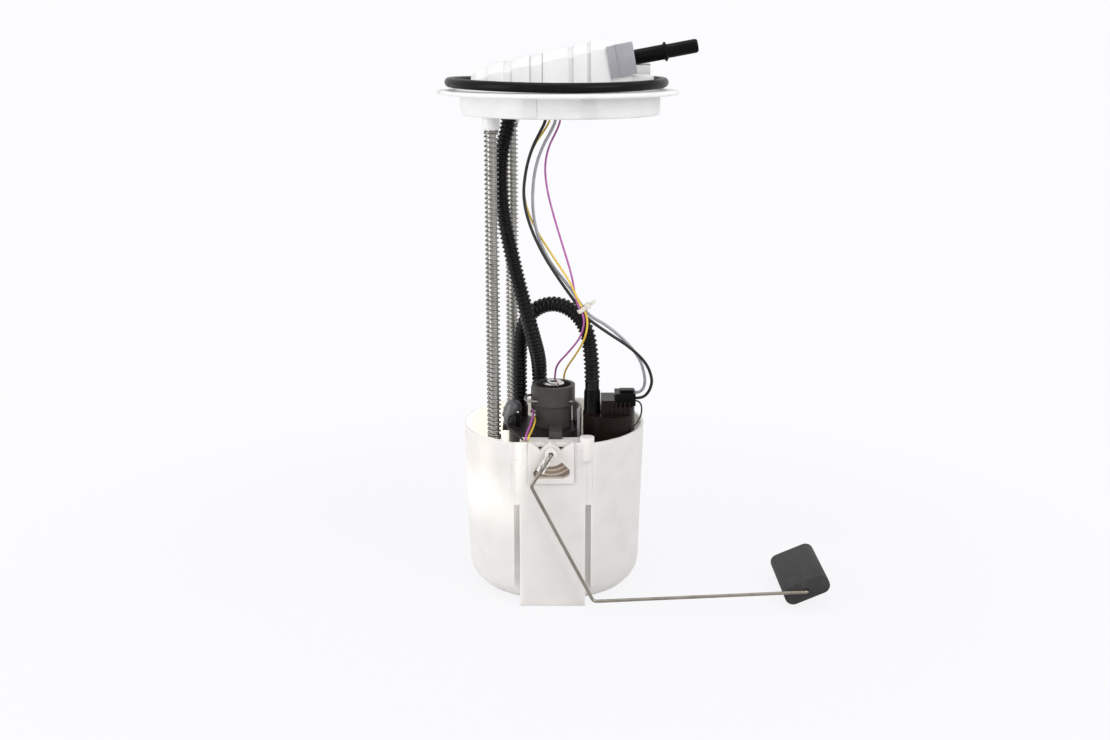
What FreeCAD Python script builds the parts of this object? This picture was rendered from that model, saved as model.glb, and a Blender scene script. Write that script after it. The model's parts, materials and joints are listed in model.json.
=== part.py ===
"""In-tank fuel pump module: flange, sprung guide rods, reservoir bucket, pump, filter and level sender.

All lengths are in millimetres. The origin is the flange's axis at its seat, the underside of the plate.
+Z is up, +X is the side of the outlet nipple and -Y is the side of the level sender.
"""
import FreeCAD, Part
import math
import os
import re

import Sketcher

Vector = FreeCAD.Vector
Rotation = FreeCAD.Rotation
Placement = FreeCAD.Placement
UP = Vector(0, 0, 1)

# Driving dimensions, written once into the document's sheet.
SIZES = {
    # Flange
    "plate_radius": 69.0,
    "plate_thick": 2.8,
    "skirt_radius": 58.1,
    "skirt_wall": 2.6,
    "skirt_depth": 11.5,
    "skirt_round": 1.2,
    "tab_width": 9.0,
    "tab_reach": 2.2,
    "turret_front": -16.0,
    "turret_back": 24.0,
    "turret_left": -52.0,
    "turret_right": 29.0,
    "turret_low": 10.0,
    "turret_high": 31.0,
    "duct_radius": 2.5,
    "seal_section": 5.5,
    "seal_outer": 129.5,
    "seal_shift": -2.0,
    "rest_gap": 0.05,
    # Outlet nipple, a 5/16 inch quick-connect end
    "nipple_tilt": 10.5,
    "nipple_side": -10.0,
    "nipple_across": 42.8,
    "nipple_height": 20.9,
    "nipple_base": 4.3,
    "nipple_tip": 3.97,
    "nipple_bead": 5.45,
    "nipple_bore": 2.6,
    "bead_along": 17.5,
    "nipple_length": 36.0,
    "nipple_root": 9.0,
    "collar_radius": 7.6,
    "collar_length": 16.5,
    # Electrical shroud and cap on the flange
    "shroud_front": 20.0,
    "shroud_width": 16.0,
    "shroud_low": 8.9,
    "shroud_height": 8.2,
    "shroud_end": 53.6,
    "shroud_root": 22.0,
    "shroud_wall": 1.3,
    "shroud_depth": 13.0,
    "pin_radius": 0.6,
    "pin_length": 9.0,
    "cap_across": 42.5,
    "cap_side": 7.0,
    "cap_radius": 12.5,
    "cap_height": 8.0,
    # Guide rods, springs and their seats
    "front_rod_across": -38.9,
    "front_rod_side": -30.5,
    "back_rod_across": -29.6,
    "back_rod_side": 35.0,
    "rod_radius": 3.0,
    "rod_spare": 6.0,
    "rod_socket": 16.5,
    "boss_radius": 5.0,
    "boss_depth": 18.5,
    "spring_outer": 4.2,
    "spring_wire": 0.9,
    "groove_depth": 0.6,
    "ring_thick": 1.0,
    "ring_radius": 4.4,
    "ring_gap": 0.3,
    "guide_clearance": 0.05,
    # Bucket
    "bucket_across": -3.4,
    "bucket_rim_radius": 54.9,
    "bucket_foot_radius": 52.5,
    "bucket_rim": 196.5,
    "bucket_height": 101.5,
    "bucket_wall": 1.8,
    "bucket_corner": 16.0,
    "front_face": 49.0,
    "panel_left": -23.8,
    "panel_right": 15.0,
    "slot_width": 3.2,
    "slot_drop": 38.0,
    "slot_depth": 3.0,
    "slot_wall": 1.4,
    "sleeve_radius": 5.2,
    "sleeve_drop": 3.0,
    "sleeve_length": 30.5,
    "web_thick": 3.2,
    "rim_boss_radius": 4.2,
    "rim_boss_across": 15.8,
    "rim_boss_rise": 2.8,
    "rim_boss_length": 14.0,
    "rim_boss_proud": 1.0,
    "shelf_drop": 1.0,
    "shelf_thick": 2.5,
    "shelf_back": 34.0,
    "shelf_left": -23.5,
    "shelf_right": 11.6,
    # Level sender
    "pivot_across": -5.2,
    "pivot_drop": 5.4,
    "sender_half": 13.4,
    "sender_drop": 19.1,
    "sender_proud": 1.2,
    "sender_thick": 5.0,
    "sender_fit": 0.05,
    "window_inner": 8.5,
    "window_outer": 17.6,
    "window_drop": 16.1,
    "window_left_reach": 10.2,
    "window_right_reach": 10.8,
    "card_thick": 1.0,
    "terminal_width": 1.1,
    "stub_radius": 1.45,
    "hub_radius": 3.4,
    "arm_stand": 7.0,
    "arm_wire": 1.0,
    "rotor_thick": 3.4,
    "rotor_width": 4.2,
    "rotor_reach": 12.5,
    "wiper_width": 1.8,
    "wiper_start": 1.2,
    "wiper_gap": 0.4,
    # Float
    "float_reach": 151.8,
    "float_drop": 84.4,
    "float_length": 52.0,
    "float_width": 28.0,
    "float_thick": 12.0,
    "float_round": 5.0,
    "float_inset": 2.8,
    "float_turn": 23.6,
    "clip_radius": 3.0,
    "clip_thick": 1.0,
    # Pump and its cover
    "pump_across": 29.6,
    "pump_side": -14.5,
    "pump_radius": 12.5,
    "pump_wall": 0.8,
    "pump_length": 69.0,
    "pump_lift": 17.0,
    "end_cap_thick": 3.0,
    "shaft_radius": 1.5,
    "core_radius": 8.6,
    "brush_radius": 4.6,
    "magnet_thick": 2.4,
    "impeller_radius": 10.8,
    "impeller_thick": 3.0,
    "port_radius": 2.4,
    "isolator_wall": 1.3,
    "isolator_floor": 3.0,
    "isolator_rise": 23.0,
    "cover_radius": 15.6,
    "cover_rise": 22.0,
    "cover_skirt": 23.0,
    "cover_roof": 2.0,
    "crown_left_reach": 4.7,
    "crown_right_reach": 15.2,
    "crown_front_reach": 9.5,
    "crown_back_reach": 10.0,
    "crown_rise": 9.0,
    "plug_start": 3.4,
    "plug_length": 12.3,
    "plug_half": 6.75,
    "plug_shift": 0.25,
    "plug_sink": 4.0,
    "plug_height": 7.4,
    # Filter
    "filter_across": -9.6,
    "filter_side": -12.0,
    "filter_radius": 21.2,
    "filter_wall": 1.6,
    "filter_lift": 36.0,
    "lid_thick": 3.5,
    "lid_sink": 0.0,
    "shield_wall": 1.6,
    "shield_rise": 12.5,
    "shield_height": 19.0,
    "shield_start": -20.0,
    "shield_sweep": 55.0,
    "element_outer": 18.6,
    "element_inner": 9.0,
    "valve_across": -28.4,
    "valve_side": -5.0,
    "valve_radius": 5.0,
    "valve_rise": 9.5,
    "valve_length": 7.0,
    "valve_neck": 3.6,
    "valve_tilt": 20.0,
    # Pressure regulator and its housing
    "regulator_across": -3.8,
    "regulator_side": -10.0,
    "housing_rise": 25.5,
    "housing_cup": 11.7,
    "housing_wide": 13.0,
    "housing_narrow": 11.0,
    "housing_bore": 10.6,
    "bore_depth": 16.0,
    "regulator_radius": 9.0,
    "regulator_neck": 7.2,
    "regulator_cap": 6.4,
    "regulator_proud": 1.6,
    "clip_drop": 9.0,
    "clip_wire": 0.75,
    "clip_side": 8.0,
    "clip_reach": 17.0,
    "clip_spare": 11.5,
    "peg_left_reach": 2.6,
    "peg_right_reach": 5.0,
    "peg_front": -37.6,
    "peg_drop": 5.5,
    # Hoses and wires
    "hose_radius": 4.7,
    "cuff_wall": 0.4,
    "cuff_length": 14.0,
    "thick_wire": 0.9,
    "thin_wire": 0.6,
    "ground_wire": 0.5,
    "tie_radius": 2.3,
    "tie_wall": 0.8,
    "tie_width": 2.6,
}

# Places that follow from the driving dimensions, kept as formulas in the same sheet. Heights run down from the seat.
PLACES = {
    "bucket_floor": "bucket_rim + bucket_height",
    "slot_top": "bucket_rim + slot_drop",
    "sleeve_top": "bucket_rim + sleeve_drop",
    "sleeve_foot": "sleeve_top + sleeve_length",
    "rod_end": "sleeve_foot + rod_spare",
    "shelf_top": "bucket_rim + shelf_drop",
    "pivot_height": "bucket_rim + pivot_drop",
    "sender_left": "pivot_across - sender_half",
    "sender_right": "pivot_across + sender_half",
    "sender_foot": "pivot_height + sender_drop",
    "sender_front": "front_face + sender_proud",
    "sender_back": "sender_front - sender_thick",
    "window_floor": "pivot_height + window_drop",
    "window_left": "pivot_across - window_left_reach",
    "window_right": "pivot_across + window_right_reach",
    "arm_plane": "front_face + arm_stand",
    "float_across": "pivot_across + float_reach",
    "float_height": "pivot_height + float_drop",
    "float_front": "arm_plane - float_inset",
    "pump_foot": "bucket_floor - pump_lift",
    "pump_top": "pump_foot - pump_length",
    "isolator_top": "pump_foot - isolator_rise",
    "cover_ledge": "pump_top - end_cap_thick",
    "cover_top": "cover_ledge - cover_rise",
    "cover_foot": "cover_ledge + cover_skirt",
    "crown_left": "pump_across - crown_left_reach",
    "crown_right": "pump_across + crown_right_reach",
    "crown_front": "pump_side - crown_front_reach",
    "crown_back": "pump_side + crown_back_reach",
    "crown_top": "cover_top - crown_rise",
    "plug_left": "pump_across + plug_start",
    "plug_right": "plug_left + plug_length",
    "plug_front": "pump_side + plug_shift - plug_half",
    "plug_back": "pump_side + plug_shift + plug_half",
    "plug_floor": "crown_top + plug_sink",
    "plug_top": "plug_floor - plug_height",
    "filter_foot": "bucket_floor - filter_lift",
    "lid_top": "bucket_rim + lid_sink",
    "shield_top": "lid_top - shield_rise",
    "shield_foot": "shield_top + shield_height",
    "valve_height": "lid_top - valve_rise",
    "housing_top": "lid_top - housing_rise",
    "housing_step": "housing_top + housing_cup",
    "bore_floor": "housing_top + bore_depth",
    "clip_height": "housing_top + clip_drop",
    "peg_left": "regulator_across - peg_left_reach",
    "peg_right": "regulator_across + peg_right_reach",
}

# Routes of the hoses and wires, chosen by hand.
OUTLET_HOSE = [(-29.7, 2, -9.0), (-29.7, 2, -15.0), (-31.8, 2, -24.0), (-34.3, 1, -34.4), (-35.0, -1, -49.6),
               (-33.9, -3, -65.8), (-31.0, -5, -81.5), (-27.5, -6.5, -97.5), (-24.0, -7.5, -112.5),
               (-20.0, -7.5, -127.1), (-16.2, -4, -143.3), (-13.2, 4.4, -156.8), (-12.4, 9.5, -168.0),
               (-12.4, 9.5, -177.5)]
LOOP_HOSE = [(19.4, -16, -187.0), (19.4, -16, -171.5), (19.2, -15.4, -159.5), (18.2, -14, -148.3),
             (16.4, -11.6, -138.4), (12.0, -7.8, -130.6), (4.6, -3.6, -125.0), (-4.7, 0.2, -123.4),
             (-14.1, 3.8, -127.0), (-21.1, 6.8, -135.0), (-24.2, 9.3, -146.9), (-24.8, 11.3, -160.7),
             (-24.8, 12, -175.6), (-24.8, 12, -190.0)]
BLACK_WIRE = [(-8.1, -12, -10.5), (-8.1, -12, -14.5), (-11.2, -12, -20.5), (-16.2, -12.2, -30.0),
              (-19.9, -13, -42.6), (-21.5, -14.4, -57.5), (-18.6, -16.6, -71.9), (-11.1, -18.4, -89.1),
              (-1.1, -20.7, -104.7), (9.4, -22.9, -119.0), (14.9, -23.4, -127.3), (27.2, -23.0, -136.2),
              (41.4, -21, -145.8), (51.6, -18, -156.2), (55.5, -15, -166.8), (54.6, -12.6, -173.4),
              (52.2, -11.2, -177.8), (48.9, -11, -179.7), (45.3, -11, -179.7)]
GREY_WIRE = [(-2.3, -12, -10.5), (-2.3, -12, -14.5), (-5.2, -12, -20.5), (-10.0, -12, -29.0),
             (-14.2, -12, -40.4), (-16.0, -12.4, -54.2), (-15.7, -13.4, -68.5), (-12.7, -15.2, -82.3),
             (-5.6, -17.0, -96.6), (3.6, -20.0, -107.2), (11.1, -22.9, -117.9), (16.6, -23.4, -126.2),
             (28.3, -20.8, -133.0), (40.6, -18.0, -144.4), (48.1, -15.4, -154.8), (51.1, -11.4, -165.6),
             (51.4, -9.2, -171.4), (50.3, -8.8, -174.8), (48.0, -8.8, -176.8), (45.3, -8.8, -176.8)]
YELLOW_WIRE = [(-5.6, -9, -10.5), (-5.6, -9, -14.5), (-8.8, -9, -20.0), (-15.0, -9.2, -28.4),
               (-19.4, -9.8, -40.5), (-21.3, -10.4, -54.2), (-19.2, -11, -66.8), (-12.8, -12.6, -79.4),
               (-3.4, -18.6, -93.3), (6.6, -25.9, -107.0), (10.9, -25.5, -118.0), (16.4, -25.3, -126.3),
               (15.6, -24.6, -138.0), (10.4, -11, -151.6), (5.2, 3.4, -162.6), (2.5, 9, -169.8), (2.5, 9, -175.0)]
PURPLE_WIRE = [(0.4, -9, -10.5), (0.4, -9, -14.5), (-1.9, -9, -20.5), (-6.7, -9, -29.5), (-9.0, -9.5, -40.6),
               (-7.6, -11, -54.4), (-3.5, -13.5, -69.8), (2.2, -17.4, -88.0), (7.2, -22.4, -103.6),
               (9.6, -24.8, -118.9), (14.8, -25.3, -127.0), (12.8, -19, -139.8), (5.4, -5, -152.6),
               (-1.6, 5, -162.4), (-3.0, 9, -169.6), (-3.0, 9, -175.0)]
PURPLE_LEAD = [(-3.0, 6.6, -188.0), (-3.0, 6.6, -191.2), (-6.2, 7.2, -193.6), (-13.2, 6.2, -193.8),
               (-17.8, 1.8, -192.2), (-17.0, -5.0, -188.4), (-15.9, -12.0, -187.2), (-16.3, -20.0, -189.0),
               (-17.7, -29.0, -191.9), (-19.2, -37.0, -193.6), (-19.95, -42.6, -194.3), (-19.95, -44.0, -196.3)]
YELLOW_LEAD = [(2.5, 8.6, -188.0), (2.5, 8.6, -190.6), (-0.8, 9.2, -193.2), (-8.6, 7.6, -195.5),
               (-14.2, 4.0, -195.5), (-16.0, -2.5, -194.6), (-16.0, -10.2, -191.9), (-14.7, -17.0, -190.7),
               (-14.9, -22.5, -191.3), (-15.8, -29.0, -192.9), (-17.4, -37.0, -194.3), (-18.4, -42.6, -194.5),
               (-18.4, -44.0, -196.3)]
BLACK_LEAD = [(-26.6, -14.0, -189.3), (-28.4, -14.0, -189.3), (-30.8, -17.0, -190.4), (-31.4, -23.5, -192.8),
              (-29.6, -31.5, -194.6), (-24.6, -39.8, -194.3), (-21.5, -44.0, -196.3)]
GROUND_LEAD = [(45.3, -14.5, -180.4), (47.4, -14.5, -180.4), (49.4, -15.8, -183.2), (48.9, -18.6, -188.6),
               (45.9, -22.2, -192.6), (42.6, -24.3, -194.9), (42.8, -24.4, -199.3), (42.6, -24.3, -203.6)]


def linked(formula):
    """The formula with each size's or place's name led by the sheet's own."""
    return re.sub(r"[a-z][a-z_]*", lambda word: f"Sizes.{word[0]}" if word[0] in SIZES or word[0] in PLACES else word[0],
                  formula)


def make_sheet(doc):
    """Write the driving dimensions and the places that follow from them into a sheet, one alias a row."""
    sheet = doc.addObject("Spreadsheet::Sheet", "Sizes")
    for row, (name, value) in enumerate({**SIZES, **PLACES}.items(), 1):
        sheet.set(f"A{row}", name)
        sheet.set(f"B{row}", f"={value}")
        sheet.setAlias(f"B{row}", name)
    doc.recompute()
    return sheet


class Model:
    """The document with short ways to add bound solids to it."""

    def __init__(self):
        self.doc = FreeCAD.newDocument("FuelPumpModule")
        self.sheet = make_sheet(self.doc)
        self.parts = {}

    def size(self, name):
        """A driving dimension as a number."""
        return float(self.sheet.get(name))

    def add(self, kind, **formulas):
        """A document object whose properties follow formulas."""
        item = self.doc.addObject(kind, "Form")
        for prop, formula in formulas.items():
            item.setExpression(prop, linked(formula))
        return item

    def place(self, item, x="0", y="0", z="0", axis=None, angle=None):
        """Put an item at a bound place, turned about a fixed axis by a bound angle."""
        if axis:
            item.Placement = Placement(Vector(), Rotation(Vector(*axis), 1))
            item.setExpression("Placement.Rotation.Angle", linked(angle))
        for letter, formula in (("x", x), ("y", y), ("z", z)):
            item.setExpression(f"Placement.Base.{letter}", linked(formula))
        return item

    def rod(self, radius, height, x="0", y="0", z="0", axis=None, angle=None):
        """A cylinder that stands on its placed foot."""
        return self.place(self.add("Part::Cylinder", Radius=radius, Height=height), x, y, z, axis, angle)

    def block(self, low, high, axis=None, angle=None):
        """A box between two corners, each given by three formulas."""
        spans = [f"({b}) - ({a})" for a, b in zip(low, high)]
        return self.place(self.add("Part::Box", Length=spans[0], Width=spans[1], Height=spans[2]), *low, axis, angle)

    def bar(self, length, width, height, x, y, z, axis=None, angle=None):
        """A box with its own sizes, turned about its placed corner."""
        return self.place(self.add("Part::Box", Length=length, Width=width, Height=height), x, y, z, axis, angle)

    def ring(self, outer, inner, height, x="0", y="0", z="0"):
        """A tube that stands on its placed foot."""
        return self.cut(self.rod(outer, height, x, y, z), self.rod(inner, height, x, y, z))

    def fuse(self, *items):
        """All the items as one solid."""
        whole = self.doc.addObject("Part::MultiFuse", "Joined")
        whole.Shapes = list(items)
        whole.Refine = True
        return whole

    def cut(self, base, *tools):
        """The base with each tool taken away."""
        for tool in tools:
            left = self.doc.addObject("Part::Cut", "Cut")
            left.Base = base
            left.Tool = tool
            base = left
        return base

    def common(self, *items):
        """What the items share."""
        shared = self.doc.addObject("Part::MultiCommon", "Shared")
        shared.Shapes = list(items)
        return shared

    def group(self, *items):
        """Separate solids kept in one node."""
        whole = self.doc.addObject("Part::Compound", "Group")
        whole.Links = list(items)
        return whole

    def body(self, role, corners):
        """A new body with one closed outline of bound corners on an origin plane."""
        body = self.doc.addObject("PartDesign::Body", "Body")
        sketch = body.newObject("Sketcher::SketchObject", "Outline")
        plane = next(item for item in body.Origin.OriginFeatures if item.Role == role)
        sketch.AttachmentSupport = [(plane, "")]
        sketch.MapMode = "FlatFace"
        count = len(corners)
        spots = [Vector(math.cos(math.tau * i / count), math.sin(math.tau * i / count)) for i in range(count)]
        for i in range(count):
            sketch.addGeometry(Part.LineSegment(spots[i], spots[(i + 1) % count]))
        for i in range(count):
            sketch.addConstraint(Sketcher.Constraint("Coincident", i, 2, (i + 1) % count, 1))
        for i, corner in enumerate(corners):
            for kind, formula in zip(("DistanceX", "DistanceY"), corner):
                held = sketch.addConstraint(Sketcher.Constraint(kind, -1, 1, i, 1, 1.0))
                sketch.setExpression(f"Constraints[{held}]", linked(formula))
        return body, sketch

    def turned(self, corners, x="0", y="0", z="0", axis=None, angle=None):
        """An outline of radius and height turned about the upright axis."""
        body, sketch = self.body("XZ_Plane", corners)
        turn = body.newObject("PartDesign::Revolution", "Turned")
        turn.Profile = sketch
        turn.ReferenceAxis = (sketch, ["V_Axis"])
        turn.Angle = 360
        return self.place(body, x, y, z, axis, angle)

    def slab(self, corners, width, y="0"):
        """An outline of across and height made thick both ways from a middle plane."""
        body, sketch = self.body("XZ_Plane", corners)
        pad = body.newObject("PartDesign::Pad", "Slab")
        pad.Profile = sketch
        pad.Midplane = True
        pad.setExpression("Length", linked(width))
        return self.place(body, "0", y, "0")

    def rounded(self, item, radius, chosen):
        """The item with the chosen edges rounded."""
        self.doc.recompute()
        smooth = self.doc.addObject("Part::Fillet", "Rounded")
        smooth.Base = item
        edges = enumerate(item.Shape.Edges, 1)
        smooth.Edges = [(number, radius, radius) for number, edge in edges if chosen(edge)]
        return smooth

    def shaped(self, shape):
        """A shape made with the part functions, as an object of the document."""
        item = self.doc.addObject("Part::Feature", "Shaped")
        item.Shape = shape
        return item

    def name(self, label, item):
        """Give a finished sub-part its own label."""
        item.Label = label
        self.parts[label] = item
        return item


def bent_path(points, radii):
    """Straight runs through the points, joined by tangent arcs of the radii."""
    corners = [Vector(*point) for point in points]
    edges = []
    start = corners[0]
    for before, corner, after, radius in zip(corners, corners[1:], corners[2:], radii):
        inward = (before - corner).normalize()
        onward = (after - corner).normalize()
        half = inward.getAngle(onward) / 2
        reach = radius / math.tan(half)
        middle = (inward + onward).normalize() * (radius / math.sin(half) - radius)
        first = corner + inward * reach
        last = corner + onward * reach
        edges.append(Part.LineSegment(start, first).toShape())
        edges.append(Part.Arc(first, corner + middle, last).toShape())
        start = last
    edges.append(Part.LineSegment(start, corners[-1]).toShape())
    return Part.Wire(edges)


def arc_radii(points, share=0.45):
    """For each inner point, the arc that takes its share of the shorter run."""
    corners = [Vector(*point) for point in points]
    radii = []
    for before, corner, after in zip(corners, corners[1:], corners[2:]):
        run = min((corner - before).Length, (after - corner).Length)
        turn = (corner - before).getAngle(after - corner)
        radii.append(share * run / math.tan(turn / 2))
    return radii


def swept(path, radius):
    """A round bar that follows a path."""
    start = path.OrderedEdges[0]
    heading = start.tangentAt(start.FirstParameter)
    section = Part.Face(Part.Wire(Part.makeCircle(radius, start.valueAt(start.FirstParameter), heading)))
    return path.makePipe(section)


def cord(model, label, points, radius):
    """A hose or wire along its route, with its volume held against section times length."""
    radii = arc_radii(points)
    path = bent_path(points, radii)
    solid = swept(path, radius)
    share = solid.Volume / (math.pi * radius ** 2 * path.Length)
    tightest = min(radii)
    print(f"{label}: length {path.Length:.1f}, tightest arc {tightest:.1f}, volume share {share:.4f}")
    print("  arcs", [round(each) for each in radii])
    model.name(label, model.shaped(solid))


def turret(model):
    """The sloping housing on the plate that carries the fuel from the inner hose to the nipple."""
    rise = "(turret_high - turret_low)"
    run = "(turret_right - turret_left)"
    profile = [("turret_left", "plate_thick - 1"), ("turret_right", "plate_thick - 1"),
               ("turret_right", "turret_high"), (f"turret_left + 0.86 * {run}", "turret_high"),
               (f"turret_left + 0.66 * {run}", f"turret_low + 0.82 * {rise}"),
               (f"turret_left + 0.5 * {run}", f"turret_low + 0.62 * {rise}"),
               (f"turret_left + 0.24 * {run}", f"turret_low + 0.42 * {rise}"),
               (f"turret_left + 0.05 * {run}", f"turret_low + 0.24 * {rise}"),
               ("turret_left", "turret_low")]
    return model.slab(profile, "turret_back - turret_front", "(turret_front + turret_back) / 2")


def nipple_along(distance):
    """The across and height of a point on the nipple's axis, as formulas."""
    return (f"nipple_across + ({distance}) * cos(nipple_tilt)", f"nipple_height + ({distance}) * sin(nipple_tilt)")


def flange(model):
    """The flange moulding: plate, skirt, turret, nipple collar, shroud and rod bosses."""
    plate = model.rod("plate_radius", "plate_thick")
    skirt = model.turned([("skirt_radius - skirt_wall", "0.5"), ("skirt_radius", "0.5"),
                          ("skirt_radius", "-skirt_depth + skirt_round"),
                          ("skirt_radius - skirt_round", "-skirt_depth"),
                          ("skirt_radius - skirt_wall", "-skirt_depth")])
    across, height = nipple_along("-collar_length")
    collar = model.rod("collar_radius", "collar_length", across, "nipple_side", height, (0, 1, 0), "90 - nipple_tilt")
    foot = model.block(("nipple_across - collar_length", "nipple_side - 6", "plate_thick - 1"),
                       ("nipple_across - 1.5", "nipple_side + 4", "nipple_height - 4"))
    shroud = model.block(("shroud_root", "shroud_front", "shroud_low"),
                         ("shroud_end", "shroud_front + shroud_width", "shroud_low + shroud_height"))
    socket = model.block(("shroud_end - shroud_depth", "shroud_front + shroud_wall", "shroud_low + shroud_wall"),
                         ("shroud_end + 1", "shroud_front + shroud_width - shroud_wall",
                          "shroud_low + shroud_height - shroud_wall"))
    stand = model.block(("shroud_root", "shroud_front", "plate_thick - 1"),
                        ("shroud_root + 12", "shroud_front + 10", "shroud_low + 1"))
    tab = model.block(("-plate_radius - tab_reach", "-tab_width / 2", "0"), ("-plate_radius + 2", "tab_width / 2",
                                                                            "plate_thick"))
    bosses = [model.rod("boss_radius", "boss_depth + 0.5", f"{rod}_rod_across", f"{rod}_rod_side", "-boss_depth")
              for rod in ("front", "back")]
    holes = [model.rod("rod_radius", "rod_socket", f"{rod}_rod_across", f"{rod}_rod_side", "-boss_depth")
             for rod in ("front", "back")]
    spine = model.shaped(duct_cut(model))
    root = model.rod("nipple_tip", "nipple_root", *place_root(), (0, 1, 0), "90 - nipple_tilt")
    whole = model.fuse(plate, skirt, turret(model), collar, foot, shroud, stand, tab, *bosses)
    model.name("flange", model.cut(whole, socket, *holes, spine, root))


def place_root():
    """Where the nipple's root starts inside its collar."""
    across, height = nipple_along("-nipple_root")
    return across, "nipple_side", height


def duct_cut(model):
    """The slanted fuel way from the inner hose to the nipple's root."""
    tilt = math.radians(model.size("nipple_tilt"))
    along = model.size("nipple_root")
    end = Vector(model.size("nipple_across") - along * math.cos(tilt), model.size("nipple_side"),
                 model.size("nipple_height") - along * math.sin(tilt))
    start = Vector(*OUTLET_HOSE[0][:2], -1)
    way = end - start
    return Part.makeCylinder(model.size("duct_radius"), way.Length, start, way)


def flange_fittings(model):
    """What is fixed to the flange: seal, nipple, cap, pins, hose stub and harness plug."""
    model.name("seal_ring", model.place(
        model.add("Part::Torus", Radius1="(seal_outer - seal_section) / 2", Radius2="seal_section / 2"),
        "seal_shift", "0", "plate_thick + seal_section / 2 + rest_gap"))
    across, height = nipple_along("-nipple_root")
    start = "nipple_root"
    profile = [("nipple_bore", "0"), ("nipple_tip", "0"), ("nipple_tip", start), ("nipple_base", start),
               ("nipple_base", f"{start} + bead_along - 1.6"), ("nipple_bead", f"{start} + bead_along - 0.6"),
               ("nipple_bead", f"{start} + bead_along + 0.6"), ("nipple_tip", f"{start} + bead_along + 1.8"),
               ("nipple_tip", f"{start} + nipple_length - 1.2"),
               ("nipple_tip - 0.8", f"{start} + nipple_length"), ("nipple_bore", f"{start} + nipple_length")]
    model.name("fuel_outlet_nipple", model.turned(profile, across, "nipple_side", height, (0, 1, 0),
                                                  "90 - nipple_tilt"))
    cap = model.rod("cap_radius", "cap_height", "cap_across", "cap_side", "plate_thick")
    model.name("vapour_valve_cap", model.rounded(
        cap, 2.0, lambda edge: edge.Length > 60 and edge.CenterOfMass.z > 6))
    pins = [model.rod("pin_radius", "pin_length", "shroud_end - shroud_depth",
                      f"shroud_front + shroud_width * {0.2 + 0.2 * i:.1f}", "shroud_low + shroud_height / 2",
                      (0, 1, 0), "90") for i in range(4)]
    model.name("terminal_pins", model.group(*pins))
    stub = model.rod("hose_radius", "9", f"{OUTLET_HOSE[0][0]}", f"{OUTLET_HOSE[0][1]}", "-9")
    bore = model.rod("duct_radius", "9", f"{OUTLET_HOSE[0][0]}", f"{OUTLET_HOSE[0][1]}", "-9")
    model.name("inner_hose_stub", model.cut(stub, bore))
    model.name("harness_plug", model.block(("-11", "-14.5", "-10.5"), ("3", "-6.5", "0")))


def legs(model):
    """Guide rods, their springs and the rings that hold the bucket on."""
    rings = []
    for side in ("front", "back"):
        place = (f"{side}_rod_across", f"{side}_rod_side")
        top = "(rod_socket - boss_depth)"
        ring_high = "-sleeve_foot - ring_gap"
        profile = [("0", top), ("rod_radius", top), ("rod_radius", ring_high),
                   ("rod_radius - groove_depth", ring_high),
                   ("rod_radius - groove_depth", f"{ring_high} - ring_thick"),
                   ("rod_radius", f"{ring_high} - ring_thick"), ("rod_radius", "-rod_end + 0.8"),
                   ("rod_radius - 0.8", "-rod_end"), ("0", "-rod_end")]
        model.name(f"guide_rod_{side}", model.turned(profile, *place))
        model.name(f"spring_{side}", model.ring(
            "spring_outer", "spring_outer - spring_wire", "sleeve_top - boss_depth - rest_gap", *place,
            "-sleeve_top + rest_gap"))
        rings.append(model.ring("ring_radius", "rod_radius - groove_depth", "ring_thick", *place,
                                f"{ring_high} - ring_thick"))
    model.name("rod_rings", model.group(*rings))


def bucket_form(model, inset):
    """The bucket's round form, moved inwards by an inset, as one turned solid."""
    rim = f"bucket_rim_radius - {inset}"
    foot = f"bucket_foot_radius - {inset}"
    steps = 5
    turn = [(f"{foot} - (bucket_corner - {inset}) * (1 - cos({90 * i / steps:g}))",
             f"-bucket_floor + {inset} + (bucket_corner - {inset}) * (1 - sin({90 * i / steps:g}))")
            for i in range(steps + 1)]
    top = "-bucket_rim" if inset == "0" else "-bucket_rim + 1"
    return model.turned([("0", top), (rim, top)] + turn + [("0", f"-bucket_floor + {inset}")], "bucket_across")


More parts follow.
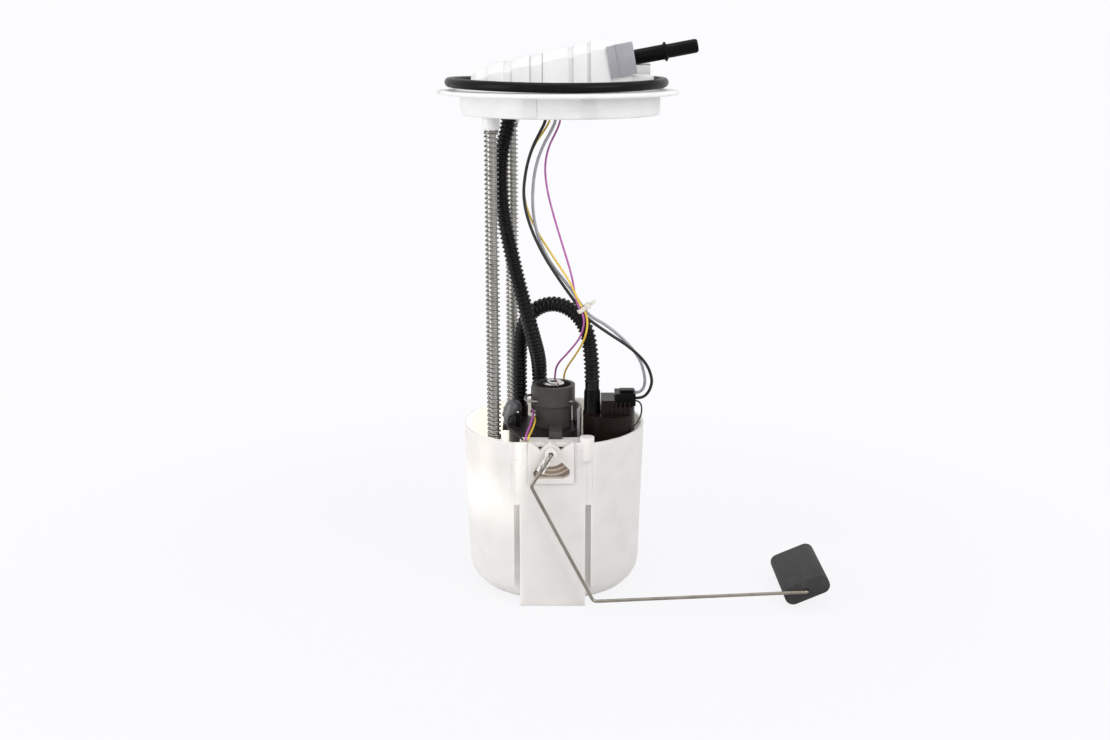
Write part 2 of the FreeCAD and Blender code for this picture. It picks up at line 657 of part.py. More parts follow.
def bucket(model):
    """The reservoir: drafted round wall, flat front, slots, guide sleeves, shelf and seats."""
    front = model.block(("-80", "-front_face", "-bucket_floor - 1"), ("80", "80", "-bucket_rim + 3"))
    room = model.block(("-80", "-front_face + bucket_wall", "-bucket_floor - 1"), ("80", "80", "-bucket_rim + 3"))
    panel = model.block(("panel_left", "-front_face", "-bucket_floor"),
                        ("panel_right", "-front_face + 18", "-slot_top + 12"))
    hollow = model.block(("panel_left + bucket_wall", "-front_face + bucket_wall", "-bucket_floor + bucket_wall"),
                         ("panel_right - bucket_wall", "-front_face + 30", "-bucket_rim + 1"))
    outer = model.fuse(model.common(bucket_form(model, "0"), front), panel)
    inner = model.common(bucket_form(model, "bucket_wall"), room)
    shell = model.cut(outer, inner, hollow)
    slots = [model.block((left, "-front_face - 1", "-bucket_floor - 1"),
                         (f"{left} + slot_width", "-front_face + slot_depth", "-slot_top"))
             for left in ("panel_left - slot_width", "panel_right")]
    backs = [model.common(bucket_form(model, "0"), model.block(
        (left, "-front_face", "-bucket_floor"),
        (f"{left} + slot_width + slot_wall", "-front_face + slot_depth + slot_wall", "-slot_top + slot_wall")))
             for left in ("panel_left - slot_width - slot_wall", "panel_right")]
    seats = [pump_seat(model), filter_seat(model), shelf(model)]
    sleeves = [sleeve(model, side) for side in ("front", "back")]
    bores = [model.rod("rod_radius + guide_clearance", "60", f"{side}_rod_across", f"{side}_rod_side",
                       "-sleeve_foot - 5") for side in ("front", "back")]
    opening = model.block(("sender_left - sender_fit", "-front_face - 1", "-sender_foot - sender_fit"),
                          ("sender_right + sender_fit", "-sender_back", "-bucket_rim + 5"))
    notch = model.block(("peg_left - 0.15", "peg_front - 0.4", "-lid_top - peg_drop - 1"),
                        ("peg_right + 0.15", "-shelf_back + 1", "-lid_top + 0.5"))
    valve = model.rod("1.5", "10", "-30", "12", "-bucket_floor - 2")
    whole = model.fuse(shell, rim_boss(model), *backs, *seats, *sleeves)
    model.name("bucket", model.cut(whole, *slots, *bores, opening, notch, valve))


def rim_boss(model):
    """Upright round boss on the rim of the front wall, right of the sender."""
    return model.rod("rim_boss_radius", "rim_boss_length", "rim_boss_across",
                     "-front_face - rim_boss_proud + rim_boss_radius",
                     "-bucket_rim + rim_boss_rise - rim_boss_length")


def sleeve(model, side):
    """A guide sleeve for one rod, webbed to the bucket's wall."""
    place = (f"{side}_rod_across", f"{side}_rod_side")
    tube = model.rod("sleeve_radius", "sleeve_foot - sleeve_top", *place, "-sleeve_foot")
    angle = f"atan2({side}_rod_side; {side}_rod_across - bucket_across)"
    corner = (f"{side}_rod_across + web_thick / 2 * sin({angle})", f"{side}_rod_side - web_thick / 2 * cos({angle})")
    web = model.bar("30", "web_thick", "sleeve_foot - sleeve_top - 4", *corner, "-sleeve_foot", (0, 0, 1), angle)
    return model.fuse(tube, model.common(web, bucket_form(model, "bucket_wall / 2")))


def pump_seat(model):
    """Ring on the floor that carries the pump's rubber foot, open for the strainer."""
    ring = model.ring("pump_radius + isolator_wall + 0.6", "pump_radius - 2.4", "bucket_floor - pump_foot - 3",
                      "pump_across", "pump_side", "-bucket_floor")
    gap = model.block(("4", "pump_side - 7.5", "-bucket_floor + bucket_wall"),
                      ("pump_across", "pump_side + 9.5", "-bucket_floor + 10"))
    return model.cut(model.common(ring, bucket_form(model, "0.6")), gap)


def filter_seat(model):
    """Tube on the floor under the filter case."""
    return model.ring("15", "13.2", "bucket_floor - filter_foot", "filter_across - 4", "filter_side + 6",
                      "-bucket_floor")


def shelf(model):
    """Shelf behind the front wall for the sender's terminals and the regulator's peg."""
    return model.block(("shelf_left", "-front_face + 1", "-shelf_top - shelf_thick"),
                       ("shelf_right", "-shelf_back", "-shelf_top"))


def sender(model):
    """Level sender: housing with its window, resistor card and terminals."""
    profile = [("sender_left", "-sender_foot"), ("sender_right", "-sender_foot"),
               ("sender_right", "-bucket_rim"), ("pivot_across + 11.6", "-bucket_rim"),
               ("pivot_across + 5.8", "-bucket_rim - 4.9"), ("pivot_across - 0.6", "-bucket_rim + 0.7"),
               ("pivot_across - 6.4", "-bucket_rim - 4.9"), ("pivot_across - 11", "-bucket_rim"),
               ("sender_left", "-bucket_rim")]
    plate = model.slab(profile, "sender_front - sender_back", "-(sender_front + sender_back) / 2")
    window = model.shaped(window_cut(model))
    bore = model.rod("stub_radius + guide_clearance", "12", "pivot_across", "-sender_back + 1", "-pivot_height",
                     (1, 0, 0), "90")
    model.name("sender_housing", model.cut(plate, window, bore))
    model.name("resistor_card", model.block(
        ("sender_left + 1.5", "-sender_back", "-sender_foot + 1.5"),
        ("sender_right - 1.5", "-sender_back + card_thick", "-pivot_height - 3.6")))
    spots = (PURPLE_LEAD[-1], YELLOW_LEAD[-1], BLACK_LEAD[-1])
    blades = [model.block((f"{x} - terminal_width / 2", f"{y} - 1", "-shelf_top"),
                          (f"{x} + terminal_width / 2", f"{y} + 1", f"{z}")) for x, y, z in spots]
    model.name("sender_terminals", model.group(*blades))


def window_cut(model):
    """The window's sector about the pivot, with its flat floor."""
    depth = 20
    pivot = Vector(model.size("pivot_across"), -40, -model.size("pivot_height"))
    toward = Vector(0, -1, 0)
    outer = Part.makeCylinder(model.size("window_outer"), depth, pivot, toward)
    inner = Part.makeCylinder(model.size("window_inner"), depth, pivot, toward)
    wedge = [pivot, pivot + Vector(40 * math.cos(math.radians(-44)), 0, 40 * math.sin(math.radians(-44))),
             pivot + Vector(0, 0, -60),
             pivot + Vector(40 * math.cos(math.radians(-130)), 0, 40 * math.sin(math.radians(-130)))]
    sector = Part.Face(Part.makePolygon(wedge + [pivot])).extrude(toward * depth)
    left = model.size("window_left")
    frame = Part.makeBox(model.size("window_right") - left, 80, 80, Vector(left, -80, -model.size("window_floor")))
    return outer.cut(inner).common(sector).common(frame)


# The float arm's two bends in its own plane, across and up from the pivot.
ARM_BENDS = [(-11.6, -18.7), (25.1, -90.4)]


def arm_heading():
    """Heading of the arm's first run from the pivot, in degrees from +X."""
    return math.degrees(math.atan2(ARM_BENDS[0][1], ARM_BENDS[0][0]))


def float_arm(model):
    """Rotor, bent wire, wiper, float and its clip."""
    plane = -model.size("arm_plane")
    across, up = model.size("pivot_across"), -model.size("pivot_height")
    route = [(0, 0)] + ARM_BENDS + [(model.size("float_reach"), -model.size("float_drop"))]
    flat = [(across + x, plane, up + z) for x, z in route]
    back = -model.size("float_front") + model.size("float_length") + 2.5
    points = [(flat[0][0], plane + 3.6, flat[0][2])] + flat + [(flat[-1][0], back, flat[-1][2])]
    wire = swept(bent_path(points, [1.6, 3.0, 3.4, 1.8]), model.size("arm_wire"))
    model.name("float_arm", model.shaped(wire))
    model.name("sender_rotor", rotor(model))
    turn = arm_heading()
    strip = model.bar("window_drop - wiper_gap - window_inner - wiper_start", "sender_thick + 0.2", "wiper_width",
                      "window_inner + wiper_start", "-sender_front - 0.35", "-wiper_width / 2")
    model.name("wiper", about_pivot(model, strip, turn))
    foam = model.block(("-float_width / 2", "0", "-float_thick / 2"), ("float_width / 2", "float_length",
                                                                       "float_thick / 2"))
    soft = model.rounded(foam, model.size("float_round"), lambda edge: abs(
        edge.tangentAt(edge.FirstParameter).y) > 0.9)
    hole = model.rod("arm_wire + guide_clearance", "float_length + 2", "0", "-1", "0", (-1, 0, 0), "90")
    float_block = model.cut(soft, hole)
    model.place(float_block, "float_across", "-float_front", "-float_height", (0, -1, 0), "float_turn")
    model.name("float", float_block)
    clip = model.cut(model.rod("clip_radius", "clip_thick"), model.rod("arm_wire", "clip_thick"))
    model.place(clip, "float_across", "-float_front + float_length + 0.3", "-float_height", (-1, 0, 0), "90")
    model.name("float_clip", clip)


def about_pivot(model, item, degrees):
    """An item drawn along +X, turned about the pivot's axis to a heading."""
    holder = model.doc.addObject("Part::Compound", "Turned")
    holder.Links = [item]
    return model.place(holder, "pivot_across", "0", "-pivot_height", (0, -1, 0), f"{degrees:.4f}")


def rotor(model):
    """The moulded rotor: hub, stub axle, arm plate and two wire clips."""
    face = "-arm_plane + arm_wire + guide_clearance"
    hub = model.rod("hub_radius", "rotor_thick", "0", f"{face} + rotor_thick", "0", (1, 0, 0), "90")
    stub = model.rod("stub_radius", f"-sender_back - ({face} + rotor_thick) + 0.2 - 0.4", "0",
                     "-sender_back - 0.2", "0", (1, 0, 0), "90")
    plate = model.block(("0", f"{face}", "-rotor_width / 2"), ("rotor_reach", f"{face} + rotor_thick - 0.9",
                                                              "rotor_width / 2"))
    eye = model.rod("arm_wire + 0.4", "20", "0", "-arm_plane + 3.7", "0", (1, 0, 0), "90")
    clips = []
    for along in ("rotor_reach - 3.2", "rotor_reach - 8.2"):
        for low, high in (("arm_wire + guide_clearance", "rotor_width / 2"), ("-rotor_width / 2",
                                                                             "-arm_wire - guide_clearance")):
            clips.append(model.block((along, "-arm_plane - arm_wire - 0.2", low), (f"{along} + 2.6", f"{face} + 0.5",
                                                                                 high)))
    whole = model.cut(model.fuse(hub, stub, plate, *clips), eye)
    return about_pivot(model, whole, arm_heading())


def pump(model):
    """Pump: can, magnets, armature, impeller, end caps, rubber foot and strainer."""
    place = ("pump_across", "pump_side")
    length = "pump_foot - pump_top"
    bore = "pump_radius - pump_wall"
    model.name("pump_can", model.ring("pump_radius", bore, length, *place, "-pump_foot"))
    magnet = model.ring(f"{bore} - 0.02", f"{bore} - magnet_thick", f"{length} - 35", *place, "-pump_foot + 20")
    gap = model.block(("pump_across - 3", "pump_side - 20", "-pump_foot"), ("pump_across + 3", "pump_side + 20",
                                                                          "-pump_top"))
    model.name("pump_magnets", model.cut(magnet, gap))
    shaft = model.rod("shaft_radius", f"{length} - 2.4", *place, "-pump_foot + 1.2")
    core = model.rod("core_radius", f"{length} - 37", *place, "-pump_foot + 21")
    brush_ring = model.rod("brush_radius", "6", *place, "-pump_top - 14")
    model.name("pump_armature", model.fuse(shaft, core, brush_ring))
    wheel = model.ring("impeller_radius", "shaft_radius", "impeller_thick", *place, "-pump_foot + end_cap_thick + 1")
    model.name("pump_impeller", wheel)
    fitted = f"{bore} - guide_clearance"
    top = model.fuse(model.rod(fitted, "end_cap_thick + 1.5", *place, "-pump_top - end_cap_thick - 1.5"),
                     model.rod("pump_radius", "end_cap_thick", *place, "-pump_top"))
    hole = model.rod("shaft_radius + guide_clearance", "8", *place, "-pump_top - 9")
    outlet = model.rod("port_radius", "20", "pump_across - 7.5", "pump_side", "-pump_top - 10")
    model.name("pump_outlet_cap", model.cut(top, hole, outlet))
    low = model.fuse(model.rod(fitted, "end_cap_thick + 0.4", *place, "-pump_foot"),
                     model.rod("4.2", "8.6", "pump_across - 5", "pump_side", "-pump_foot - 8.6"))
    well = model.rod("shaft_radius + guide_clearance", "5", *place, "-pump_foot + 1")
    intake = model.rod("port_radius", "20", "pump_across - 5", "pump_side", "-pump_foot - 10")
    model.name("pump_inlet_cap", model.cut(low, well, intake))
    cup = model.rod("pump_radius + isolator_wall", "isolator_rise + isolator_floor", *place,
                    "-pump_foot - isolator_floor")
    inside = model.rod("pump_radius + guide_clearance", "isolator_rise + 1", *place, "-pump_foot")
    hole = model.rod("pump_radius - 2.3", "isolator_floor + 2", *place, "-pump_foot - isolator_floor - 1")
    model.name("pump_isolator", model.cut(cup, inside, hole))
    sock = model.block(("5", "pump_side - 7.4", "-bucket_floor + bucket_wall + 0.3"),
                       ("pump_across - 0.6", "pump_side + 7.4", "-pump_foot - 8.6"))
    model.name("inlet_strainer", model.rounded(sock, 1.8, lambda edge: abs(
        edge.tangentAt(edge.FirstParameter).z) > 0.9))


def pump_cover(model):
    """Cover over the pump's top with its crown, wire plug and hose cuff."""
    place = ("pump_across", "pump_side")
    drum = model.rod("cover_radius", "cover_foot - cover_top", *place, "-cover_foot")
    low_bore = model.rod("pump_radius + 0.1", "cover_foot - cover_ledge", *place, "-cover_foot")
    high_bore = model.rod("pump_radius - 2", "cover_foot - cover_top - cover_roof", *place, "-cover_foot")
    crown = model.block(("crown_left", "crown_front", "-cover_top - 1"), ("crown_right", "crown_back", "-crown_top"))
    inside = model.rod("cover_radius", "cover_foot - crown_top + 1", *place, "-cover_foot")
    bay = model.block(("plug_left - 0.1", "plug_front - 5", "-plug_floor"), ("plug_right + 5", "plug_back + 5",
                                                                            "-crown_top + 5"))
    lug = model.rod("0.8", "6", f"{GROUND_LEAD[-1][0] - 0.2}", f"{GROUND_LEAD[-1][1] + 0.2}", f"{GROUND_LEAD[-1][2] - 6}")
    whole = model.fuse(drum, model.common(crown, inside), lug)
    model.name("pump_cover", model.cut(whole, low_bore, high_bore, bay))
    plug = model.block(("plug_left", "plug_front", "-plug_floor"), ("plug_right", "plug_back", "-plug_top"))
    latch = model.block(("plug_left + 3", "(plug_front + plug_back) / 2 - 3", "-plug_top - 1"),
                        ("plug_right - 1", "(plug_front + plug_back) / 2 + 3", "-plug_top + 1.4"))
    model.name("pump_plug", model.fuse(plug, latch))
    start = LOOP_HOSE[0]
    model.name("hose_cuff", model.ring("hose_radius + guide_clearance + cuff_wall", "hose_radius + guide_clearance",
                                       "cuff_length", f"{start[0]}", f"{start[1]}", "-cover_top"))


def filter_unit(model):
    """Filter: case, lid with the hose socket, element, relief valve and lead post."""
    place = ("filter_across", "filter_side")
    lid_foot = "-lid_top - lid_thick"
    case = model.rod("filter_radius", "filter_foot - lid_top - lid_thick", *place, "-filter_foot")
    room = model.rod("filter_radius - filter_wall", "filter_foot - lid_top - lid_thick", *place,
                     "-filter_foot + filter_wall")
    model.name("filter_case", model.cut(case, room))
    model.name("filter_element", model.ring("element_outer", "element_inner",
                                            "filter_foot - filter_wall - lid_top - lid_thick - 0.6", *place,
                                            "-filter_foot + filter_wall"))
    end = LOOP_HOSE[-1]
    top = model.rod("filter_radius", "lid_thick", *place, lid_foot)
    socket = model.rod("hose_radius + 0.5", f"lid_top + lid_thick + ({end[2]})", f"{end[0]}", f"{end[1]}", lid_foot)
    duct = model.bar("14", "7", "lid_thick", f"{end[0] - 2.97}", f"{end[1] - 1.86}", lid_foot, (0, 0, 1), "-58")
    saddle = model.block(("valve_across - 6.4", "valve_side - 6", lid_foot),
                         ("valve_across + 3.6", "valve_side + 4", "-lid_top - 1"))
    model.name("filter_lid", model.fuse(top, socket, duct, saddle))
    shield = model.ring("filter_radius + shield_wall", "filter_radius + guide_clearance", "shield_height", *place,
                        "-shield_foot")
    shield.Base.setExpression("Angle", linked("shield_sweep"))
    shield.Base.Placement = Placement(Vector(), Rotation(UP, 1))
    shield.Base.setExpression("Placement.Rotation.Angle", linked("shield_start"))
    model.name("filter_shield", shield)
    barrel = model.rod("valve_radius", "valve_length", "valve_across - valve_length * sin(valve_tilt)", "valve_side",
                       "-valve_height - valve_length * cos(valve_tilt)", (0, 1, 0), "valve_tilt")
    dome = model.place(model.add("Part::Sphere", Radius="valve_radius"), "valve_across", "valve_side", "-valve_height")
    neck = model.rod("valve_neck", "valve_rise + 1", "valve_across - valve_length * sin(valve_tilt)", "valve_side",
                     "-lid_top - 1")
    above = model.block(("valve_across - 30", "valve_side - 20", "-lid_top - 1"),
                        ("valve_across + 30", "valve_side + 20", "-valve_height + valve_radius + 1"))
    clear = model.rod("filter_radius + 0.2", "1.2", *place, "-lid_top - 1")
    model.name("relief_valve", model.cut(model.common(model.fuse(barrel, dome, neck), above), clear))
    end = BLACK_LEAD[0]
    model.name("lead_post", model.block((f"{end[0]}", f"{end[1] - 1.3}", "-lid_top"),
                                        (f"{end[0] + 2.6}", f"{end[1] + 1.3}", f"{end[2] + 1.4}")))


def regulator(model):
    """Regulator housing with its socket and peg, the regulator, its seal, clip and the sender's plug."""
    place = ("regulator_across", "regulator_side")
    wide = model.rod("housing_wide", "housing_step - housing_top", *place, "-housing_step")
    narrow = model.rod("housing_narrow", "lid_top - housing_step + 1", *place, "-lid_top")
    end = OUTLET_HOSE[-1]
    socket = model.rod("hose_radius + 0.6", f"lid_top - 4.5 + ({end[2]})", f"{end[0]}", f"{end[1]}", "-lid_top + 4.5")
    bridge = model.bar("16", "6", "9", "regulator_across - 2.2", "regulator_side + 9.2", "-lid_top + 6", (0, 0, 1),
                       "113")
    tongue = model.block(("peg_left", "peg_front", "-lid_top + 0.1"), ("peg_right", "regulator_side",
                                                                       "-lid_top + 3.4"))
    peg = model.block(("peg_left", "peg_front", "-lid_top - peg_drop"), ("peg_right", "-shelf_back + 0.3",
                                                                         "-lid_top + 3.4"))
    lug = model.block(("regulator_across + 1.8", "regulator_side + 9", "-bore_floor - 0.5"),
                      ("regulator_across + 6.3", "3.2", "-housing_top - 5"))
    bore = model.rod("housing_bore", "bore_depth + 1", *place, "-bore_floor")
    room = "(clip_wire + 0.3)"
    slots = [model.block(("regulator_across - 20", f"regulator_side {sign} clip_side - {room}",
                          f"-clip_height - {room}"),
                         ("regulator_across + 20", f"regulator_side {sign} clip_side + {room}",
                          f"-clip_height + {room}")) for sign in ("+", "-")]
    solid = model.fuse(wide, narrow, socket, bridge, tongue, peg, lug)
    model.name("regulator_housing", model.cut(solid, bore, *slots))
    profile = [("0", "-bore_floor"), ("regulator_radius", "-bore_floor"), ("regulator_radius", "-clip_height - 1.4"),
               ("regulator_neck", "-clip_height - 1.4"), ("regulator_neck", "-clip_height + 1.4"),
               ("regulator_radius", "-clip_height + 1.4"), ("regulator_radius", "-clip_height + 2.6"),
               ("regulator_cap", "-clip_height + 3.4"), ("regulator_cap", "-housing_top + regulator_proud - 1"),
               ("regulator_cap - 1.2", "-housing_top + regulator_proud"),
               ("regulator_cap / 2 - 0.8", "-housing_top + regulator_proud"),
               ("regulator_cap / 2 - 0.8", "-housing_top + regulator_proud - 3"),
               ("0", "-housing_top + regulator_proud - 3")]
    model.name("pressure_regulator", model.turned(profile, *place))
    seal = model.place(model.add("Part::Torus", Radius1="(housing_bore + regulator_radius) / 2",
                                 Radius2="(housing_bore - regulator_radius) / 2 - 0.01"), *place, "-bore_floor + 2.2")
    model.name("regulator_seal", seal)
    x, y, z = model.size("regulator_across"), model.size("regulator_side"), -model.size("clip_height")
    side, spare, reach = model.size("clip_side"), model.size("clip_spare"), model.size("clip_reach")
    path = [(x + spare, y - side, z), (x - reach, y - side, z), (x - reach, y + side, z), (x + spare, y + side, z)]
    clip = swept(bent_path(path, [side * 0.7, side * 0.7]), model.size("clip_wire"))
    model.name("regulator_clip", model.shaped(clip))
    model.name("sender_plug", model.block(("-5.5", "3.2", "-bore_floor - 1"), ("5.5", "11", "-housing_top - 4")))


def cords(model):
    """Hoses, wires, their cuff-side leads and the tie."""
    hose = model.size("hose_radius")
    thick = model.size("thick_wire")
    thin = model.size("thin_wire")
    ground = model.size("ground_wire")
    for label, route, radius in (("outlet_hose", OUTLET_HOSE, hose), ("loop_hose", LOOP_HOSE, hose),
                                 ("black_wire", BLACK_WIRE, thick), ("grey_wire", GREY_WIRE, thick),
                                 ("yellow_wire", YELLOW_WIRE, thin), ("purple_wire", PURPLE_WIRE, thin),
                                 ("purple_lead", PURPLE_LEAD, thin), ("yellow_lead", YELLOW_LEAD, thin),
                                 ("black_lead", BLACK_LEAD, thin), ("ground_lead", GROUND_LEAD, ground)):
        cord(model, label, route, radius)
    middle = Vector(13.0, -24.1, -122.6)
    heading = Vector(0.55, -0.05, -0.83).normalize()
    band = model.cut(model.rod("tie_radius + tie_wall", "tie_width"), model.rod("tie_radius", "tie_width"))
    head = model.block(("tie_radius + 0.2", "-2", "-0.4"), ("tie_radius + 3.4", "2", "tie_width + 0.8"))
    tail = model.bar("7", "2.2", "0.7", "tie_radius + 3", "-1.1", "1")
    tie = model.fuse(band, head, tail)
    side = Vector(0.833, 0, 0.552)
    side = (side - heading * side.dot(heading)).normalize()
    tie.Placement = Placement(middle - heading * 1.3, Rotation(side, heading.cross(side), heading, "ZXY"))
    model.name("zip_tie", tie)


def floor_parts(model):
    """What works at the bucket's floor: jet pump and floor valve."""
    start = ("-22", "22", "-bucket_floor + 6.5", (0, 1, 0), "90")
    tube = model.rod("3.4", "26", *start)
    bore = model.rod("1.6", "26", *start)
    foot = model.block(("-20", "19", "-bucket_floor + bucket_wall"), ("2", "25", "-bucket_floor + 6"))
    model.name("jet_pump", model.cut(model.fuse(tube, foot), bore))
    disc = model.rod("6.2", "0.8", "-30", "12", "-bucket_floor + bucket_wall")
    stem = model.rod("1.45", "bucket_wall - 0.2 + 0.5", "-30", "12", "-bucket_floor + 0.2")
    model.name("floor_valve", model.fuse(disc, stem))


def check(model):
    """Stop on any failed object, or any sub-part that isn't whole."""
    for item in model.doc.Objects:
        if "Invalid" in item.State or "Error" in item.State:
            raise RuntimeError(f"{item.Name} ({item.Label}) failed: {item.State}")
    for label, item in model.parts.items():
        shape = item.Shape
        if shape.isNull() or not shape.isValid() or not shape.Solids:
            raise RuntimeError(f"{label} is not a valid solid")


def export(model):
    """Write each sub-part to its own file."""
    os.makedirs("parts", exist_ok=True)
    for label, item in model.parts.items():
        shape = item.Shape
        box = shape.BoundBox
        print(f"{label}: {len(shape.Solids)} solid, volume {shape.Volume:.0f}, x {box.XMin:.1f}..{box.XMax:.1f}, "
              f"y {box.YMin:.1f}..{box.YMax:.1f}, z {box.ZMin:.1f}..{box.ZMax:.1f}")
        shape.exportStep(os.path.join("parts", f"{label}.step"))


def main():
    """Build every sub-part, check them and write them out."""
    model = Model()
    for build in (flange, flange_fittings, legs, bucket, sender, float_arm, pump, pump_cover, filter_unit,
                  regulator, cords, floor_parts):
        build(model)
    model.doc.recompute()
    check(model)
    export(model)


main()
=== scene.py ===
"""Looks of an in-tank fuel pump module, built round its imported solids.

The frame is the solids' own: the origin is the flange's axis at its seat, +Z is up, +X is the outlet nipple's
side and -Y the level sender's side. Routes and pieces are written in millimetres and made in metres.
"""

import json
import logging
import math
from dataclasses import dataclass
from enum import Enum
from typing import Any, Iterable, Sequence

import bmesh
import bpy
from mathutils import Matrix, Vector
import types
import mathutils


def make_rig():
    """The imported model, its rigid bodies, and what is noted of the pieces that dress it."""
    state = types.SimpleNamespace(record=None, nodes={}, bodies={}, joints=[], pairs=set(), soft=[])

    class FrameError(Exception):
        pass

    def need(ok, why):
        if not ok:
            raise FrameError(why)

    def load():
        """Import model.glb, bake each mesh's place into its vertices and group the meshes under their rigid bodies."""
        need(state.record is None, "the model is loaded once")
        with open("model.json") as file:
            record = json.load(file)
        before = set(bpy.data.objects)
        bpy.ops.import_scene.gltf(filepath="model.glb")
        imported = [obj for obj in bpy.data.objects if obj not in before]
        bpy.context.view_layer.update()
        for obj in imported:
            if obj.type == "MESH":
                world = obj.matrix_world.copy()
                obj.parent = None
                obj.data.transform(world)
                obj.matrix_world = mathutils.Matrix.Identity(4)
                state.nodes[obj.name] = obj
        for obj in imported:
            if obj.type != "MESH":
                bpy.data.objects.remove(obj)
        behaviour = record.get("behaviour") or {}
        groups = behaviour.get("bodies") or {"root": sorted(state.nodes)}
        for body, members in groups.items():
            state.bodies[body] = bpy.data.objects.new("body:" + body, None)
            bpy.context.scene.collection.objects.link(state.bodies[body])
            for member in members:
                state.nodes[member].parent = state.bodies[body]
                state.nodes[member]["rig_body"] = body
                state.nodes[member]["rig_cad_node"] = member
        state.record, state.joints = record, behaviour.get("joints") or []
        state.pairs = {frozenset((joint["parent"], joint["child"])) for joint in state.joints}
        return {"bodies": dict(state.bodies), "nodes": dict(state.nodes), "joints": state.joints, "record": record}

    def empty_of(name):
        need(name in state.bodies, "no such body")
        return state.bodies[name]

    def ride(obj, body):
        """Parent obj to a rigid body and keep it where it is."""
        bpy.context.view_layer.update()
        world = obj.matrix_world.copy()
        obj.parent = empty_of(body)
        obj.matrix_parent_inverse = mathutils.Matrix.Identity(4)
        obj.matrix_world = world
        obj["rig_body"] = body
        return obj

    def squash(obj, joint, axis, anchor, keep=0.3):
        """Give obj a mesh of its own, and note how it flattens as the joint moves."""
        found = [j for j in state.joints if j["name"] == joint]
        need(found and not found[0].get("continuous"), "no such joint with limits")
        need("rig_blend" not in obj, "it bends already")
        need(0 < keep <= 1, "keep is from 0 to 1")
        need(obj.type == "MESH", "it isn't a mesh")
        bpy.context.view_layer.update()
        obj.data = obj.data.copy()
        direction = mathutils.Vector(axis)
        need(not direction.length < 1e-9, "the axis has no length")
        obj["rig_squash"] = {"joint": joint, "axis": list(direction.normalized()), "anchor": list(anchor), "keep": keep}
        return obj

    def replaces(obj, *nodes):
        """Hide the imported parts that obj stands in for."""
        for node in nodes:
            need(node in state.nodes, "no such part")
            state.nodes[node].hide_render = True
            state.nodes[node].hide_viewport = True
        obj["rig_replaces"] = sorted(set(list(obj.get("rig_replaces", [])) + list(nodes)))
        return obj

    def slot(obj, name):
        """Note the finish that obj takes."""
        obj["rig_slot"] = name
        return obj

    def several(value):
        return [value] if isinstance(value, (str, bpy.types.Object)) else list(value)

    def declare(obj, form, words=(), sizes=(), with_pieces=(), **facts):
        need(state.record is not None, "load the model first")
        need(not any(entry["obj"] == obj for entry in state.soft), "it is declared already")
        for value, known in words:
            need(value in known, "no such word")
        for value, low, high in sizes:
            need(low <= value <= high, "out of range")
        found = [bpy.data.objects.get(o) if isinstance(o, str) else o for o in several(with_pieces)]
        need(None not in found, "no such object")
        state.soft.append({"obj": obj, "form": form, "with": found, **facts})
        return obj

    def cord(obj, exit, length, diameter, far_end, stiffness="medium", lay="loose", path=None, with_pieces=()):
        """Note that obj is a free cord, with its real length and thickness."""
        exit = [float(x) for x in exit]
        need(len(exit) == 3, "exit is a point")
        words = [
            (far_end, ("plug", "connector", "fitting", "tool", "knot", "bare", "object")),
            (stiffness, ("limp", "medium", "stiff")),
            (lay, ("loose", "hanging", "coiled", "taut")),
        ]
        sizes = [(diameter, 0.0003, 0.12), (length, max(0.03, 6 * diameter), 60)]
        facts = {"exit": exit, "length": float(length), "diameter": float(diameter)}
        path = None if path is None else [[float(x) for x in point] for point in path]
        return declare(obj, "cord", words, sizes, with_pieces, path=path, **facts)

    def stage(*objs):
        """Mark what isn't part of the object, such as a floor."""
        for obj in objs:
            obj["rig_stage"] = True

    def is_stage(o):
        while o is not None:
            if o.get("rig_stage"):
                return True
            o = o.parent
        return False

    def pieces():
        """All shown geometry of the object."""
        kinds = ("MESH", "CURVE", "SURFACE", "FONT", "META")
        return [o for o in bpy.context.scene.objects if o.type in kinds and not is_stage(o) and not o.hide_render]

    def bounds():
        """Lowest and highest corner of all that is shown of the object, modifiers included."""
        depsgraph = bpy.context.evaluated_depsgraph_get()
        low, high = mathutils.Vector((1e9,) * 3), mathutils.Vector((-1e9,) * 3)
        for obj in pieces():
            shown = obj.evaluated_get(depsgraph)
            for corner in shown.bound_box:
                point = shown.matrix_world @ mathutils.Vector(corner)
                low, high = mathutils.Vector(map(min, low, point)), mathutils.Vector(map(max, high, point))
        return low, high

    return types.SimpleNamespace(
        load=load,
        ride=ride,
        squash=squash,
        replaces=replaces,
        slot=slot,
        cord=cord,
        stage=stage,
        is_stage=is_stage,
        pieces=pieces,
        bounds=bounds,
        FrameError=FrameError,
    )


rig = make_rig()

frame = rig.load()
CAD_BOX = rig.bounds()

MM = 0.001
log = logging.getLogger("fuel_pump_module")
Point = tuple[float, float, float]
Route = tuple[Point, ...]
Outline = Sequence[tuple[float, float]]

def route(*points: Point) -> Route:
    """A route in metres from its points in millimetres."""
    return tuple(tuple(round(each * MM, 6) for each in point) for point in points)


